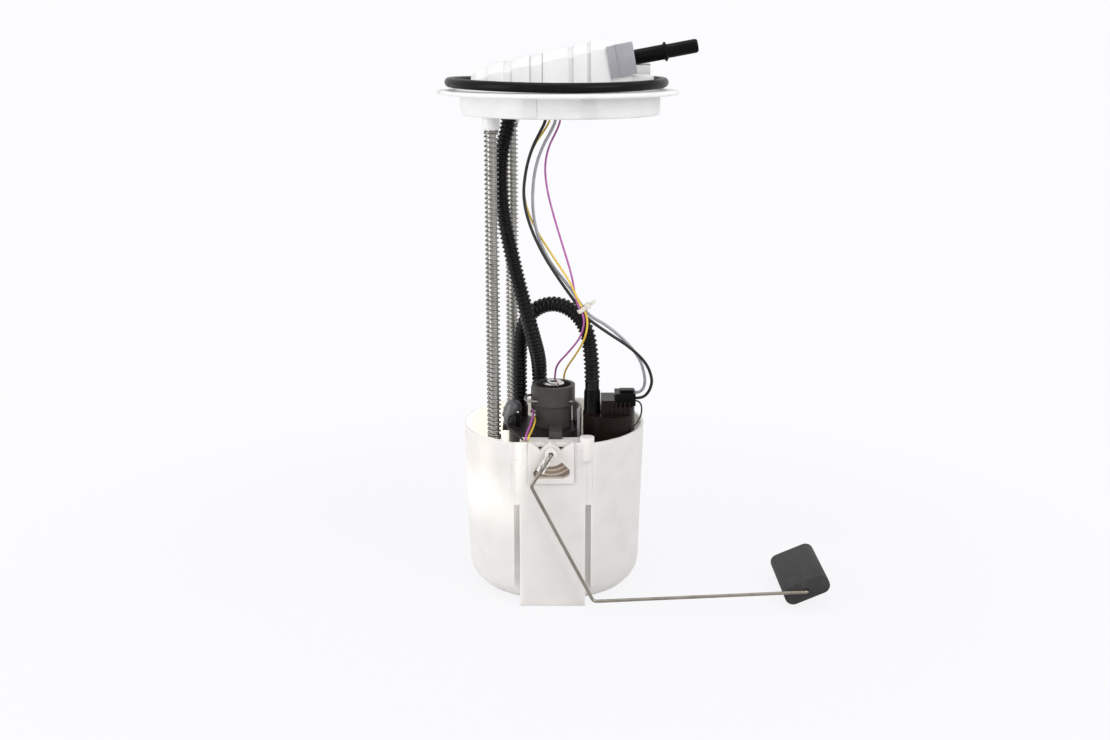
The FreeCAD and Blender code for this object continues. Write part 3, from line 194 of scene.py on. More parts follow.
OUTLET_HOSE = route((-29.7, 2, -9), (-29.7, 2, -15), (-31.8, 2, -24), (-34.3, 1, -34.4), (-35, -1, -49.6),
    (-33.9, -3, -65.8), (-31, -5, -81.5), (-27.5, -6.5, -97.5), (-24, -7.5, -112.5), (-20, -7.5, -127.1),
    (-16.2, -4, -143.3), (-13.2, 4.4, -156.8), (-12.4, 9.5, -168), (-12.4, 9.5, -177.5))
LOOP_HOSE = route((19.4, -16, -187), (19.4, -16, -171.5), (19.2, -15.4, -159.5), (18.2, -14, -148.3),
    (16.4, -11.6, -138.4), (12, -7.8, -130.6), (4.6, -3.6, -125), (-4.7, 0.2, -123.4), (-14.1, 3.8, -127),
    (-21.1, 6.8, -135), (-24.2, 9.3, -146.9), (-24.8, 11.3, -160.7), (-24.8, 12, -175.6), (-24.8, 12, -190))
BLACK_WIRE = route((-8.1, -12, -10.5), (-8.1, -12, -14.5), (-11.2, -12, -20.5), (-16.2, -12.2, -30),
    (-19.9, -13, -42.6), (-21.5, -14.4, -57.5), (-18.6, -16.6, -71.9), (-11.1, -18.4, -89.1), (-1.1, -20.7, -104.7),
    (9.4, -22.9, -119), (14.9, -23.4, -127.3), (27.2, -23, -136.2), (41.4, -21, -145.8), (51.6, -18, -156.2),
    (55.5, -15, -166.8), (54.6, -12.6, -173.4), (52.2, -11.2, -177.8), (48.9, -11, -179.7), (45.3, -11, -179.7))
GREY_WIRE = route((-2.3, -12, -10.5), (-2.3, -12, -14.5), (-5.2, -12, -20.5), (-10, -12, -29), (-14.2, -12, -40.4),
    (-16, -12.4, -54.2), (-15.7, -13.4, -68.5), (-12.7, -15.2, -82.3), (-5.6, -17, -96.6), (3.6, -20, -107.2),
    (11.1, -22.9, -117.9), (16.6, -23.4, -126.2), (28.3, -20.8, -133), (40.6, -18, -144.4), (48.1, -15.4, -154.8),
    (51.1, -11.4, -165.6), (51.4, -9.2, -171.4), (50.3, -8.8, -174.8), (48, -8.8, -176.8), (45.3, -8.8, -176.8))
YELLOW_WIRE = route((-5.6, -9, -10.5), (-5.6, -9, -14.5), (-8.8, -9, -20), (-15, -9.2, -28.4), (-19.4, -9.8, -40.5),
    (-21.3, -10.4, -54.2), (-19.2, -11, -66.8), (-12.8, -12.6, -79.4), (-3.4, -18.6, -93.3), (6.6, -25.9, -107),
    (10.9, -25.5, -118), (16.4, -25.3, -126.3), (15.6, -24.6, -138), (10.4, -11, -151.6), (5.2, 3.4, -162.6),
    (2.5, 9, -169.8), (2.5, 9, -175))
PURPLE_WIRE = route((0.4, -9, -10.5), (0.4, -9, -14.5), (-1.9, -9, -20.5), (-6.7, -9, -29.5), (-9, -9.5, -40.6),
    (-7.6, -11, -54.4), (-3.5, -13.5, -69.8), (2.2, -17.4, -88), (7.2, -22.4, -103.6), (9.6, -24.8, -118.9),
    (14.8, -25.3, -127), (12.8, -19, -139.8), (5.4, -5, -152.6), (-1.6, 5, -162.4), (-3, 9, -169.6), (-3, 9, -175))
PURPLE_LEAD = route((-3, 6.6, -188), (-3, 6.6, -191.2), (-6.2, 7.2, -193.6), (-13.2, 6.2, -193.8),
    (-17.8, 1.8, -192.2), (-17, -5, -188.4), (-15.9, -12, -187.2), (-16.3, -20, -189), (-17.7, -29, -191.9),
    (-19.2, -37, -193.6), (-19.95, -42.6, -194.3), (-19.95, -44, -196.3))
YELLOW_LEAD = route((2.5, 8.6, -188), (2.5, 8.6, -190.6), (-0.8, 9.2, -193.2), (-8.6, 7.6, -195.5),
    (-14.2, 4, -195.5), (-16, -2.5, -194.6), (-16, -10.2, -191.9), (-14.7, -17, -190.7), (-14.9, -22.5, -191.3),
    (-15.8, -29, -192.9), (-17.4, -37, -194.3), (-18.4, -42.6, -194.5), (-18.4, -44, -196.3))
BLACK_LEAD = route((-26.6, -14, -189.3), (-28.4, -14, -189.3), (-30.8, -17, -190.4), (-31.4, -23.5, -192.8),
    (-29.6, -31.5, -194.6), (-24.6, -39.8, -194.3), (-21.5, -44, -196.3))
GROUND_LEAD = route((45.3, -14.5, -180.4), (47.4, -14.5, -180.4), (49.4, -15.8, -183.2), (48.9, -18.6, -188.6),
    (45.9, -22.2, -192.6), (42.6, -24.3, -194.9), (42.8, -24.4, -199.3), (42.6, -24.3, -203.6))
RODS = (("front", -38.9, -30.5), ("back", -29.6, 35.0))


class Body(Enum):
    """The rigid bodies that pieces ride on."""

    FLANGE = "flange"
    BUCKET = "bucket"
    ARM = "arm"
    FLOAT = "float"
    ROTOR = "pump_rotor"


class Socket:
    """An output of a node that takes part in arithmetic."""

    def __init__(self, graph: "Graph", output: bpy.types.NodeSocket) -> None:
        """Keep the node tree and the output."""
        self.graph = graph
        self.output = output

    def __add__(self, other: "Socket | float") -> "Socket":
        """This plus another."""
        return self.graph.maths("ADD", self, other)

    def __sub__(self, other: "Socket | float") -> "Socket":
        """This less another."""
        return self.graph.maths("SUBTRACT", self, other)

    def __rsub__(self, other: float) -> "Socket":
        """A number less this."""
        return self.graph.maths("SUBTRACT", other, self)

    def __mul__(self, other: "Socket | float") -> "Socket":
        """This times another."""
        return self.graph.maths("MULTIPLY", self, other)

    def __truediv__(self, other: "Socket | float") -> "Socket":
        """This over another."""
        return self.graph.maths("DIVIDE", self, other)

    __radd__ = __add__
    __rmul__ = __mul__


class Graph:
    """A node tree with short ways to fill it."""

    def __init__(self, tree: bpy.types.NodeTree) -> None:
        """Keep the tree."""
        self.tree = tree

    def node(self, kind: str, settings: dict[str, Any] | None = None,
             values: dict[str | int, Any] | None = None) -> bpy.types.Node:
        """Add a node.

        Args:
            kind: the node's type.
            settings: its own settings, such as an operation, set first.
            values: numbers or sockets for its inputs, by identifier, name or place.

        Returns:
            The node.
        """
        node = self.tree.nodes.new(kind)
        for name, value in (settings or {}).items():
            setattr(node, name, value)
        for key, value in (values or {}).items():
            known = {each.identifier: each for each in node.inputs}
            entry = known[key] if key in known else node.inputs[key]
            if isinstance(value, Socket):
                self.tree.links.new(value.output, entry)
            else:
                entry.default_value = value
        return node

    def out(self, kind: str, settings: dict[str, Any] | None = None,
            values: dict[str | int, Any] | None = None, output: str | int = 0) -> Socket:
        """Add a node and take one of its outputs.

        Args:
            kind: the node's type.
            settings: its own settings.
            values: its inputs.
            output: the output's name or place.

        Returns:
            The output.
        """
        return Socket(self, self.node(kind, settings, values).outputs[output])

    def maths(self, operation: str, *values: "Socket | float") -> Socket:
        """One step of arithmetic on the values."""
        return self.out("ShaderNodeMath", {"operation": operation}, dict(enumerate(values)))

    def axes(self, vector: Socket) -> tuple[Socket, Socket, Socket]:
        """The three numbers of a vector."""
        return tuple(Socket(self, each) for each in self.node("ShaderNodeSeparateXYZ", None, {0: vector}).outputs)

    def reach(self, across: Socket, along: Socket) -> Socket:
        """The distance that two offsets at right angles make."""
        return self.maths("SQRT", across * across + along * along)

    def clamp(self, value: Socket, low: float, high: "Socket | float") -> Socket:
        """A value held between two others."""
        return self.maths("MINIMUM", self.maths("MAXIMUM", value, low), high)

    def step(self, value: Socket, low: float, high: float) -> Socket:
        """A soft step from 0 at low to 1 at high."""
        return self.out("ShaderNodeMapRange", {"interpolation_type": "SMOOTHSTEP"},
                        {"Value": value, "From Min": low, "From Max": high})


class Surface(Graph):
    """A material in the making, on the piece's own coordinates in metres."""

    def __init__(self, name: str) -> None:
        """Start an empty material with its coordinates."""
        self.material = bpy.data.materials.new(name)
        self.material.use_nodes = True
        self.material.node_tree.nodes.clear()
        super().__init__(self.material.node_tree)
        self.place = self.out("ShaderNodeTexCoord", None, None, "Object")

    def noise(self, size: float, detail: float = 3.0, stretch: Point = (1.0, 1.0, 1.0)) -> Socket:
        """Cloudy variation from 0 to 1.

        Args:
            size: the clouds' size in millimetres.
            detail: how many finer layers it has.
            stretch: how much longer the clouds are along each axis.

        Returns:
            The variation.
        """
        scale = tuple(1.0 / (size * MM * each) for each in stretch)
        mapped = self.out("ShaderNodeMapping", None, {"Vector": self.place, "Scale": scale})
        return self.out("ShaderNodeTexNoise", None, {"Vector": mapped, "Scale": 1.0, "Detail": detail})

    def cells(self, size: float) -> Socket:
        """The distance to the middle of small cells of a size in millimetres."""
        return self.out("ShaderNodeTexVoronoi", None, {"Vector": self.place, "Scale": 1.0 / (size * MM)}, "Distance")

    def ramp(self, value: Socket, low: float, high: float) -> Socket:
        """A soft step between two places in millimetres."""
        return self.step(value, low * MM, high * MM)

    def band(self, value: Socket, low: float, high: float, soft: float) -> Socket:
        """1 between two places in millimetres, with a soft edge outside them."""
        return self.ramp(value, low - soft, low) * (1.0 - self.ramp(value, high, high + soft))

    def blend(self, share: Socket, first: Sequence[float], second: Sequence[float] | Socket) -> Socket:
        """A colour between two others."""
        first = first if isinstance(first, Socket) else (*first, 1.0)
        second = second if isinstance(second, Socket) else (*second, 1.0)
        return self.out("ShaderNodeMix", {"data_type": "RGBA"},
                        {"Factor_Float": share, "A_Color": first, "B_Color": second}, 2)

    def relief(self, height: Socket, depth: float, soft_edge: float = 0.25) -> Socket:
        """A normal that follows a height, over edges that are slightly rounded.

        Args:
            height: the height from 0 to 1.
            depth: what 1 stands for, in millimetres.
            soft_edge: the radius of the edges, in millimetres.

        Returns:
            The normal.
        """
        values: dict[str | int, Any] = {"Height": height, "Distance": depth * MM, "Strength": 1.0}
        if soft_edge > 0:
            values["Normal"] = self.out("ShaderNodeBevel", {"samples": 4}, {"Radius": soft_edge * MM})
        return self.out("ShaderNodeBump", None, values)

    def close(self, constants: dict[str, Any], **varied: Any) -> bpy.types.Material:
        """End the material in one surface shader.

        Args:
            constants: sockets with the same value all over.
            varied: Base_Color, Roughness, Metallic, Emission_Color or Normal.

        Returns:
            The material.
        """
        values: dict[str | int, Any] = dict(constants)
        values.update({name.replace("_", " "): value for name, value in varied.items()})
        shader = self.out("ShaderNodeBsdfPrincipled", None, values)
        self.node("ShaderNodeOutputMaterial", None, {"Surface": shader})
        return self.material


@dataclass(frozen=True)
class Moulding:
    """Moulded plastic: faint mottling, fine grain, handling marks and softened edges."""

    name: str
    slot: str
    colour: Point
    shade: Point
    roughness: float = 0.42
    grain: float = 0.012
    soft: float = 0.0
    edge: float = 0.3
    gloss: float = 0.45

    def height(self, surface: Surface) -> Socket:
        """The fine relief of the surface."""
        return surface.noise(0.35, 2.0) * 0.6 + surface.noise(3.0, 2.0) * 0.4

    def glow(self, surface: Surface) -> dict[str, Socket]:
        """Painted light, if any: an emission colour that stands in for light coming through the wall."""
        return {}

    def build(self) -> bpy.types.Material:
        """The finished material."""
        surface = Surface(self.name)
        mottling = surface.step(surface.noise(14.0, 4.0), 0.35, 0.7)
        marks = surface.step(surface.noise(5.0, 5.0, (1.0, 1.0, 2.5)), 0.45, 0.8)
        # Emission stays black unless the finish paints a glow, which is painted light and no lamp.
        constants: dict[str, Any] = {"Specular IOR Level": self.gloss, "Emission Strength": 1.0,
                                     "Emission Color": (0.0, 0.0, 0.0, 1.0)}
        if self.soft > 0:
            constants.update({"Subsurface Weight": self.soft, "Subsurface Radius": (1.0, 0.93, 0.82),
                              "Subsurface Scale": 0.006})
        return surface.close(constants,
                             Base_Color=surface.blend(mottling, self.colour, self.shade),
                             Roughness=marks * 0.12 + self.roughness,
                             Normal=surface.relief(self.height(surface), self.grain, self.edge),
                             **self.glow(surface))


@dataclass(frozen=True)
class BucketMoulding(Moulding):
    """The bucket's plastic, with the shallow grooves and slits that its front shows, and a painted glow on the inner
    face of its left wall that stands in for light through it.
    """

    grooves: tuple[tuple[float, float, float, float], ...] = ()
    # painted glow: the emission colour that stands in for light through the thin left wall
    through: Point = (0.62, 0.61, 0.53)
    axis: float = -3.4
    inner_face: tuple[float, float] = (53.2, 54.5)
    left_part: tuple[float, float] = (-45.0, -12.0)
    under_rim: tuple[float, float] = (-260.0, -215.0)
    front_face: tuple[float, float] = (-47.0, -46.5)

    def glow(self, surface: Surface) -> dict[str, Socket]:
        """Painted light: an emission on the left wall's inner face under the rim, standing in for light through the
        thin wall.
        """
        across, along, up = surface.axes(surface.place)
        reach = surface.reach(across - self.axis * MM, along)
        inner = (1.0 - surface.ramp(reach, *self.inner_face)) * (1.0 - surface.ramp(across, *self.left_part))
        share = inner * surface.ramp(up, *self.under_rim)
        return {"Emission_Color": surface.blend(share, (0.0, 0.0, 0.0), self.through)}

    def height(self, surface: Surface) -> Socket:
        """Fine relief with a shallow recess for each groove on the front face."""
        across, along, up = surface.axes(surface.place)
        front = 1.0 - surface.ramp(along, *self.front_face)
        whole = super().height(surface) * 0.06
        for left, right, low, high in self.grooves:
            whole = whole - surface.band(across, left, right, 0.3) * surface.band(up, low, high, 0.5) * front
        return whole


@dataclass(frozen=True)
class Metal:
    """Drawn, turned or pressed metal with fine lines along one axis."""

    name: str
    slot: str
    colour: Point
    tint: Point
    roughness: float = 0.28
    lines: Point = (1.0, 1.0, 12.0)
    size: float = 0.25

    def build(self) -> bpy.types.Material:
        """The finished material."""
        surface = Surface(self.name)
        lines = surface.noise(self.size, 3.0, self.lines)
        stain = surface.step(surface.noise(6.0, 4.0), 0.4, 0.75)
        return surface.close({"Metallic": 1.0},
                             Base_Color=surface.blend(stain, self.colour, self.tint),
                             Roughness=lines * 0.2 + stain * 0.1 + (self.roughness - 0.1),
                             Normal=surface.relief(lines, 0.006, 0.15))


@dataclass(frozen=True)
class Rubber:
    """Elastomer or foam: dark, with pits and a dusty bloom."""

    name: str
    slot: str
    colour: Point
    bloom: Point
    roughness: float
    pit: float
    depth: float
    gloss: float = 0.3

    def build(self) -> bpy.types.Material:
        """The finished material."""
        surface = Surface(self.name)
        pits = surface.cells(self.pit)
        dust = surface.step(surface.noise(self.pit * 9, 5.0), 0.42, 0.72)
        return surface.close({"Specular IOR Level": self.gloss},
                             Base_Color=surface.blend(dust, self.colour, self.bloom),
                             Roughness=dust * 0.12 + self.roughness,
                             Normal=surface.relief(pits, self.depth, 0.4))


@dataclass(frozen=True)
class Sheath:
    """The plastic round a wire or the wall of a hose, with faint die lines and handling marks."""

    name: str
    slot: str
    colour: Point
    worn: Point
    roughness: float = 0.36
    gloss: float = 0.4

    def build(self) -> bpy.types.Material:
        """The finished material."""
        surface = Surface(self.name)
        wear = surface.step(surface.noise(4.0, 5.0), 0.45, 0.8)
        fine = surface.noise(0.5, 2.0, (1.0, 1.0, 6.0))
        return surface.close({"Specular IOR Level": self.gloss},
                             Base_Color=surface.blend(wear, self.colour, self.worn),
                             Roughness=wear * 0.16 + self.roughness,
                             Normal=surface.relief(fine, 0.01, 0.0))


@dataclass(frozen=True)
class Weave:
    """A fine woven mesh of crossed threads."""

    name: str
    slot: str
    colour: Point
    gap: Point
    pitch: float = 0.5

    def build(self) -> bpy.types.Material:
        """The finished material."""
        surface = Surface(self.name)
        across, along, up = surface.axes(surface.place)
        turns = 2.0 * math.pi / (self.pitch * MM)
        warp = surface.maths("SINE", across * turns) * surface.maths("SINE", along * turns)
        weft = surface.maths("SINE", up * turns)
        threads = surface.step(warp + weft * 0.5, -0.6, 0.6)
        return surface.close({}, Base_Color=surface.blend(threads, self.gap, self.colour),
                             Roughness=threads * -0.1 + 0.75, Normal=surface.relief(threads, 0.05, 0.0))


@dataclass(frozen=True)
class TrackCard:
    """The resistor card: brown base with curved contact tracks about the pivot."""

    name: str
    slot: str
    base: Point
    track: Point
    shade: Point = (0.26, 0.19, 0.145)
    pivot: tuple[float, float] = (-5.2, -201.9)
    radii: tuple[float, ...] = (9.6, 12.4, 15.2)
    track_edge: tuple[float, float] = (0.35, 0.6)

    def build(self) -> bpy.types.Material:
        """The finished material."""
        surface = Surface(self.name)
        across, _, up = surface.axes(surface.place)
        reach = surface.reach(across - self.pivot[0] * MM, up - self.pivot[1] * MM) / MM
        share: Socket | float = 0.0
        for radius in self.radii:
            off = surface.maths("ABSOLUTE", reach - radius)
            share = (1.0 - surface.step(off, *self.track_edge)) + share
        cloud = surface.noise(1.5, 3.0)
        return surface.close({"Specular IOR Level": 0.6},
                             Base_Color=surface.blend(share, surface.blend(cloud, self.base, self.shade),
                                                      self.track),
                             Roughness=0.5 - share * 0.2, Normal=surface.relief(share, 0.04, 0.0))


@dataclass(frozen=True)
class Winding:
    """Laminated core with copper showing between the plates."""

    name: str
    slot: str
    steel: Point
    copper: Point
    pitch: float = 0.7

    def build(self) -> bpy.types.Material:
        """The finished material."""
        surface = Surface(self.name)
        _, _, up = surface.axes(surface.place)
        wave = surface.maths("SINE", up * (2.0 * math.pi / (self.pitch * MM)))
        plates = surface.step(wave, -0.3, 0.5)
        return surface.close({"Metallic": 1.0},
                             Base_Color=surface.blend(plates, self.copper, self.steel),
                             Roughness=plates * 0.15 + 0.3, Normal=surface.relief(plates, 0.05, 0.0))


Finish = Moulding | Metal | Rubber | Sheath | Weave | TrackCard | Winding

SHELL_GROOVES = ((-28.0, -24.2, -233.0, -207.0), (16.0, 18.9, -233.0, -207.0), (-21.6, -20.6, -210.0, -201.5),
                 (11.6, 12.6, -210.0, -201.5))
WHITE = Moulding("white_moulding", "white_moulding", (0.79, 0.785, 0.78), (0.75, 0.745, 0.735), 0.44, 0.014, 0.12)
SHELL_COLOURS = ((0.76, 0.725, 0.695), (0.72, 0.685, 0.65))
BUCKET_WHITE = BucketMoulding("bucket_moulding", "white_moulding", *SHELL_COLOURS, 0.42, 0.25, 0.55, 0.35, 0.45,
                              SHELL_GROOVES)
SENDER_WHITE = Moulding("sender_moulding", "white_moulding", *SHELL_COLOURS, 0.40, 0.012, 0.4)
TIP_WHITE = Moulding("rotor_moulding", "white_moulding", (0.78, 0.79, 0.79), (0.72, 0.73, 0.73), 0.38, 0.01, 0.1)
BLACK = Moulding("black_moulding", "black_moulding", (0.003, 0.003, 0.003), (0.007, 0.006, 0.006), 0.28, 0.008,
                 gloss=0.06)
BROWN = Moulding("brown_moulding", "brown_moulding", (0.008, 0.0048, 0.0035), (0.013, 0.008, 0.006), 0.3, 0.012,
                 gloss=0.1)
CANISTER = Moulding("canister_moulding", "brown_moulding", (0.020, 0.016, 0.0165), (0.030, 0.024, 0.024), 0.34, 0.012,
                    gloss=0.12)
GREY = Moulding("grey_moulding", "grey_moulding", (0.044, 0.040, 0.036), (0.058, 0.053, 0.048), 0.45, 0.02, gloss=0.3)
PALE_GREY = Moulding("pale_grey_moulding", "grey_moulding", (0.30, 0.29, 0.29), (0.36, 0.35, 0.35), 0.4, 0.02, 0.1)
VALVE_GREY = Moulding("valve_moulding", "grey_moulding", (0.085, 0.085, 0.09), (0.11, 0.11, 0.115), 0.3, 0.015)
# painted shade: the nipple collar is white moulding, coloured grey-blue for the shade it sits in
COLLAR_PAINTED_SHADE = Moulding("collar_moulding", "grey_moulding", (0.31, 0.31, 0.335), (0.36, 0.36, 0.385), 0.4, 0.015, 0.05)
NATURAL = Moulding("tie_moulding", "tie", (0.76, 0.73, 0.66), (0.68, 0.65, 0.57), 0.36, 0.01, 0.2, 0.1)
STEEL = Metal("steel", "steel", (0.34, 0.33, 0.31), (0.26, 0.25, 0.23))
SPRING_STEEL = Metal("spring_steel", "steel", (0.30, 0.29, 0.27), (0.22, 0.21, 0.19), 0.22, (1.0, 1.0, 1.0), 0.4)
ARM_STEEL = Metal("arm_steel", "steel", (0.27, 0.25, 0.215), (0.20, 0.18, 0.15), 0.24, (1.0, 1.0, 1.0), 0.3)
CAP_STEEL = Metal("cap_steel", "steel", (0.66, 0.64, 0.61), (0.56, 0.54, 0.51), 0.16, (8.0, 8.0, 1.0))
CONTACT = Metal("contact_metal", "contact", (0.72, 0.66, 0.52), (0.60, 0.52, 0.38), 0.25, (4.0, 1.0, 1.0))
MAGNET = Metal("magnet", "magnet", (0.10, 0.10, 0.11), (0.07, 0.07, 0.07), 0.5, (1.0, 1.0, 1.0), 0.6)
WINDING = Winding("winding", "winding", (0.42, 0.42, 0.43), (0.62, 0.30, 0.16))
SEAL = Rubber("seal_rubber", "seal", (0.004, 0.004, 0.004), (0.006, 0.006, 0.006), 0.32, 0.5, 0.01, 0.1)
SOFT_RUBBER = Rubber("soft_rubber", "soft_rubber", (0.008, 0.008, 0.008), (0.016, 0.016, 0.016), 0.5, 0.6, 0.03)
FOAM = Rubber("float_foam", "foam", (0.018, 0.0165, 0.0165), (0.036, 0.034, 0.034), 0.72, 0.75, 0.12, 0.5)
HOSE = Sheath("hose_nylon", "hose", (0.004, 0.004, 0.004), (0.009, 0.009, 0.009), 0.27, 0.18)
BLACK_SHEATH = Sheath("black_insulation", "black_insulation", (0.005, 0.005, 0.005), (0.011, 0.011, 0.011))
GREY_SHEATH = Sheath("grey_insulation", "grey_insulation", (0.33, 0.33, 0.36), (0.42, 0.42, 0.44))
YELLOW_SHEATH = Sheath("yellow_insulation", "yellow_insulation", (0.76, 0.52, 0.05), (0.66, 0.46, 0.10))
PURPLE_SHEATH = Sheath("purple_insulation", "purple_insulation", (0.42, 0.09, 0.36), (0.50, 0.20, 0.42))
MESH = Weave("strainer_mesh", "mesh", (0.80, 0.80, 0.78), (0.45, 0.45, 0.43))
PAPER = Weave("filter_paper", "paper", (0.72, 0.66, 0.48), (0.60, 0.54, 0.38), 0.9)
CARD = TrackCard("resistor_card", "card", (0.34, 0.26, 0.20), (0.66, 0.56, 0.47))


class Palette:
    """Each finish's material, built once."""

    def __init__(self) -> None:
        """Start with none."""
        self.made: dict[str, bpy.types.Material] = {}

    def of(self, finish: Finish) -> bpy.types.Material:
        """The material of a finish."""
        if finish.name not in self.made:
            self.made[finish.name] = finish.build()
        return self.made[finish.name]


PALETTE = Palette()


def smooth(mesh: bpy.types.Mesh, angle: float) -> None:
    """Shade a mesh smooth except over edges sharper than an angle in degrees."""
    mesh.polygons.foreach_set("use_smooth", [True] * len(mesh.polygons))
    mesh.set_sharp_from_angle(angle=math.radians(angle))


def plain(piece: bpy.types.Object) -> bpy.types.Object:
    """Turn a piece's live shape into a plain mesh and drop its modifiers."""
    graph = bpy.context.evaluated_depsgraph_get()
    shape = bpy.data.meshes.new_from_object(piece.evaluated_get(graph), depsgraph=graph)
    piece.modifiers.clear()
    old = piece.data
    piece.data = shape
    shape.name = piece.name
    bpy.data.meshes.remove(old)
    return piece


def new_object(name: str, data: Any) -> bpy.types.Object:
    """An object for some data, in the scene."""
    piece = bpy.data.objects.new(name, data)
    bpy.context.scene.collection.objects.link(piece)
    return piece


def settle(piece: bpy.types.Object, body: Body, finish: Finish, nodes: Iterable[str] = ()) -> bpy.types.Object:
    """Give a piece its body, its slot and the solids it stands for.

    Args:
        piece: the finished piece.
        body: what it rides on.
        finish: the finish it takes its slot from.
        nodes: the solids that it replaces.

    Returns:
        The piece.
    """
    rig.ride(piece, body.value)
    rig.slot(piece, finish.slot)
    if nodes:
        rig.replaces(piece, *nodes)
    log.info("%s rides on %s, %d faces", piece.name, body.value, len(piece.data.polygons))
    return piece


class Form:
    """A mesh in the making, drawn in millimetres."""

    def __init__(self) -> None:
        """Start empty."""
        self.mesh = bmesh.new()

    def faces(self, rows: list[list[bmesh.types.BMVert]], closed: bool) -> None:
        """Join neighbouring rings of points with faces."""
        pairs = list(zip(rows, rows[1:])) + ([(rows[-1], rows[0])] if closed else [])
        for low, high in pairs:
            count = max(len(low), len(high))
            for i in range(count):
                ring = [low[i % len(low)], low[(i + 1) % len(low)], high[(i + 1) % len(high)], high[i % len(high)]]
                corners = list(dict.fromkeys(ring))
                if len(corners) > 2:
                    self.mesh.faces.new(corners)

    def loft(self, rows: Sequence[Sequence[Sequence[float]]], place: Matrix | None = None,
             joined: bool = False) -> "Form":
        """Join rows of points with faces.

        Args:
            rows: the rows, each a ring of points or one point.
            place: where the points stand.
            joined: whether the last row joins the first. Otherwise the end rings are closed.

        Returns:
            The form.
        """
        place = place or Matrix()
        rings = [[self.mesh.verts.new(place @ Vector(point)) for point in row] for row in rows]
        self.faces(rings, joined)
        for end in (rings[0], rings[-1]):
            if len(end) > 2 and not joined:
                self.mesh.faces.new(end)
        return self

    def lathe(self, profile: Outline, place: Matrix | None = None, steps: int = 56) -> "Form":
        """Turn an outline of radius and height about an upright axis.

        Args:
            profile: the outline, open if both ends are on the axis and else closed.
            place: where the axis stands.
            steps: how many sides the round has.

        Returns:
            The form.
        """
        turns = [math.tau * i / steps for i in range(steps)]
        rows = [[(radius * math.cos(turn), radius * math.sin(turn), height)
                 for turn in (turns[:1] if radius < 1e-6 else turns)] for radius, height in profile]
        return self.loft(rows, place, len(rows[0]) > 1 or len(rows[-1]) > 1)

    def prism(self, outline: Outline, low: float, high: float, place: Matrix | None = None) -> "Form":
        """An outline of across and height made thick from low to high along Y."""
        return self.loft([[(x, y, z) for x, z in outline] for y in (low, high)], place)

    def block(self, low: Point, high: Point, place: Matrix | None = None) -> "Form":
        """A block between two corners."""
        outline = [(low[0], low[2]), (high[0], low[2]), (high[0], high[2]), (low[0], high[2])]
        return self.prism(outline, low[1], high[1], place)

    def sector(self, radii: tuple[float, float], angles: tuple[float, float],
               heights: tuple[float, float]) -> "Form":
        """A curved block about the upright axis, between two radii, angles in degrees and heights."""
        steps = 12
        rows = []
        for i in range(steps + 1):
            turn = math.radians(angles[0] + (angles[1] - angles[0]) * i / steps)
            rows.append([(radii[r] * math.cos(turn), radii[r] * math.sin(turn), heights[h])
                         for r, h in ((0, 0), (1, 0), (1, 1), (0, 1))])
        return self.loft(rows)

    def ring(self, points: Sequence[Vector], radius: float, sides: int) -> "Form":
        """A round bar through points, joined up as a ring.

        Args:
            points: the centre line.
            radius: the bar's radius.
            sides: how many sides it has.

        Returns:
            The form.
        """
        side = Vector((0.0, 0.0, 1.0))
        turns = [math.tau * i / sides for i in range(sides)]
        rows = []
        for before, point, after in zip([points[-1], *points], points, [*points[1:], points[0]]):
            heading = (after - before).normalized()
            side = (side - heading * side.dot(heading)).normalized()
            across = heading.cross(side)
            rows.append([point + (side * math.cos(turn) + across * math.sin(turn)) * radius for turn in turns])
        return self.loft(rows, None, True)

    def finish(self, name: str, body: Body, finish: Finish, bevel: float = 0.0,
               angle: float = 32.0) -> bpy.types.Object:
        """Close the form as an object in metres that rides on a body.

        Args:
            name: the solid that it stands for, or else the piece's own name.
            body: what it rides on.
            finish: its finish.
            bevel: the width of its softened edges in millimetres.
            angle: the sharpest turn that is shaded smooth, in degrees.

        Returns:
            The object.
        """
        nodes = [name] if name in frame["nodes"] else []
        name = f"{name}_look" if nodes else name
        bmesh.ops.remove_doubles(self.mesh, verts=self.mesh.verts, dist=1e-5)
        bmesh.ops.recalc_face_normals(self.mesh, faces=self.mesh.faces)
        self.mesh.transform(Matrix.Scale(MM, 4))
        data = bpy.data.meshes.new(name)
        self.mesh.to_mesh(data)
        self.mesh.free()
        data.materials.append(PALETTE.of(finish))
        piece = new_object(name, data)
        if bevel > 0:
            soft = piece.modifiers.new("soft_edges", "BEVEL")
            soft.width = bevel * MM
            soft.segments = 2
            soft.limit_method = "ANGLE"
            soft.angle_limit = math.radians(angle)
            plain(piece)
        smooth(piece.data, angle)
        return settle(piece, body, finish, nodes)


def at(x: float, y: float, z: float = 0.0) -> Matrix:
    """A place with no turn."""
    return Matrix.Translation((x, y, z))


def redrawn(node: str, body: Body, finish: Finish, angle: float = 30.0) -> bpy.types.Object:
    """A smooth-shaded piece in a solid's own shape.

    Args:
        node: the solid.
        body: what the piece rides on.
        finish: its finish.
        angle: the sharpest turn that is shaded smooth, in degrees.

    Returns:
        The piece.
    """
    mesh = bmesh.new()
    mesh.from_mesh(frame["nodes"][node].data)
    bmesh.ops.remove_doubles(mesh, verts=mesh.verts, dist=1e-6)
    data = bpy.data.meshes.new(f"{node}_look")
    mesh.to_mesh(data)
    mesh.free()
    for name in ("custom_normal", "sharp_face", "sharp_edge"):
        if name in data.attributes:
            data.attributes.remove(data.attributes[name])
    data.materials.clear()
    data.materials.append(PALETTE.of(finish))
    smooth(data, angle)
    return settle(new_object(f"{node}_look", data), body, finish, [node])


def redraw(body: Body, *rows: tuple[str, Finish] | tuple[str, Finish, float]) -> None:
    """Redraw solids of one body, each with its finish and its angle if that isn't the usual one."""
    for row in rows:
        redrawn(row[0], body, *row[1:])


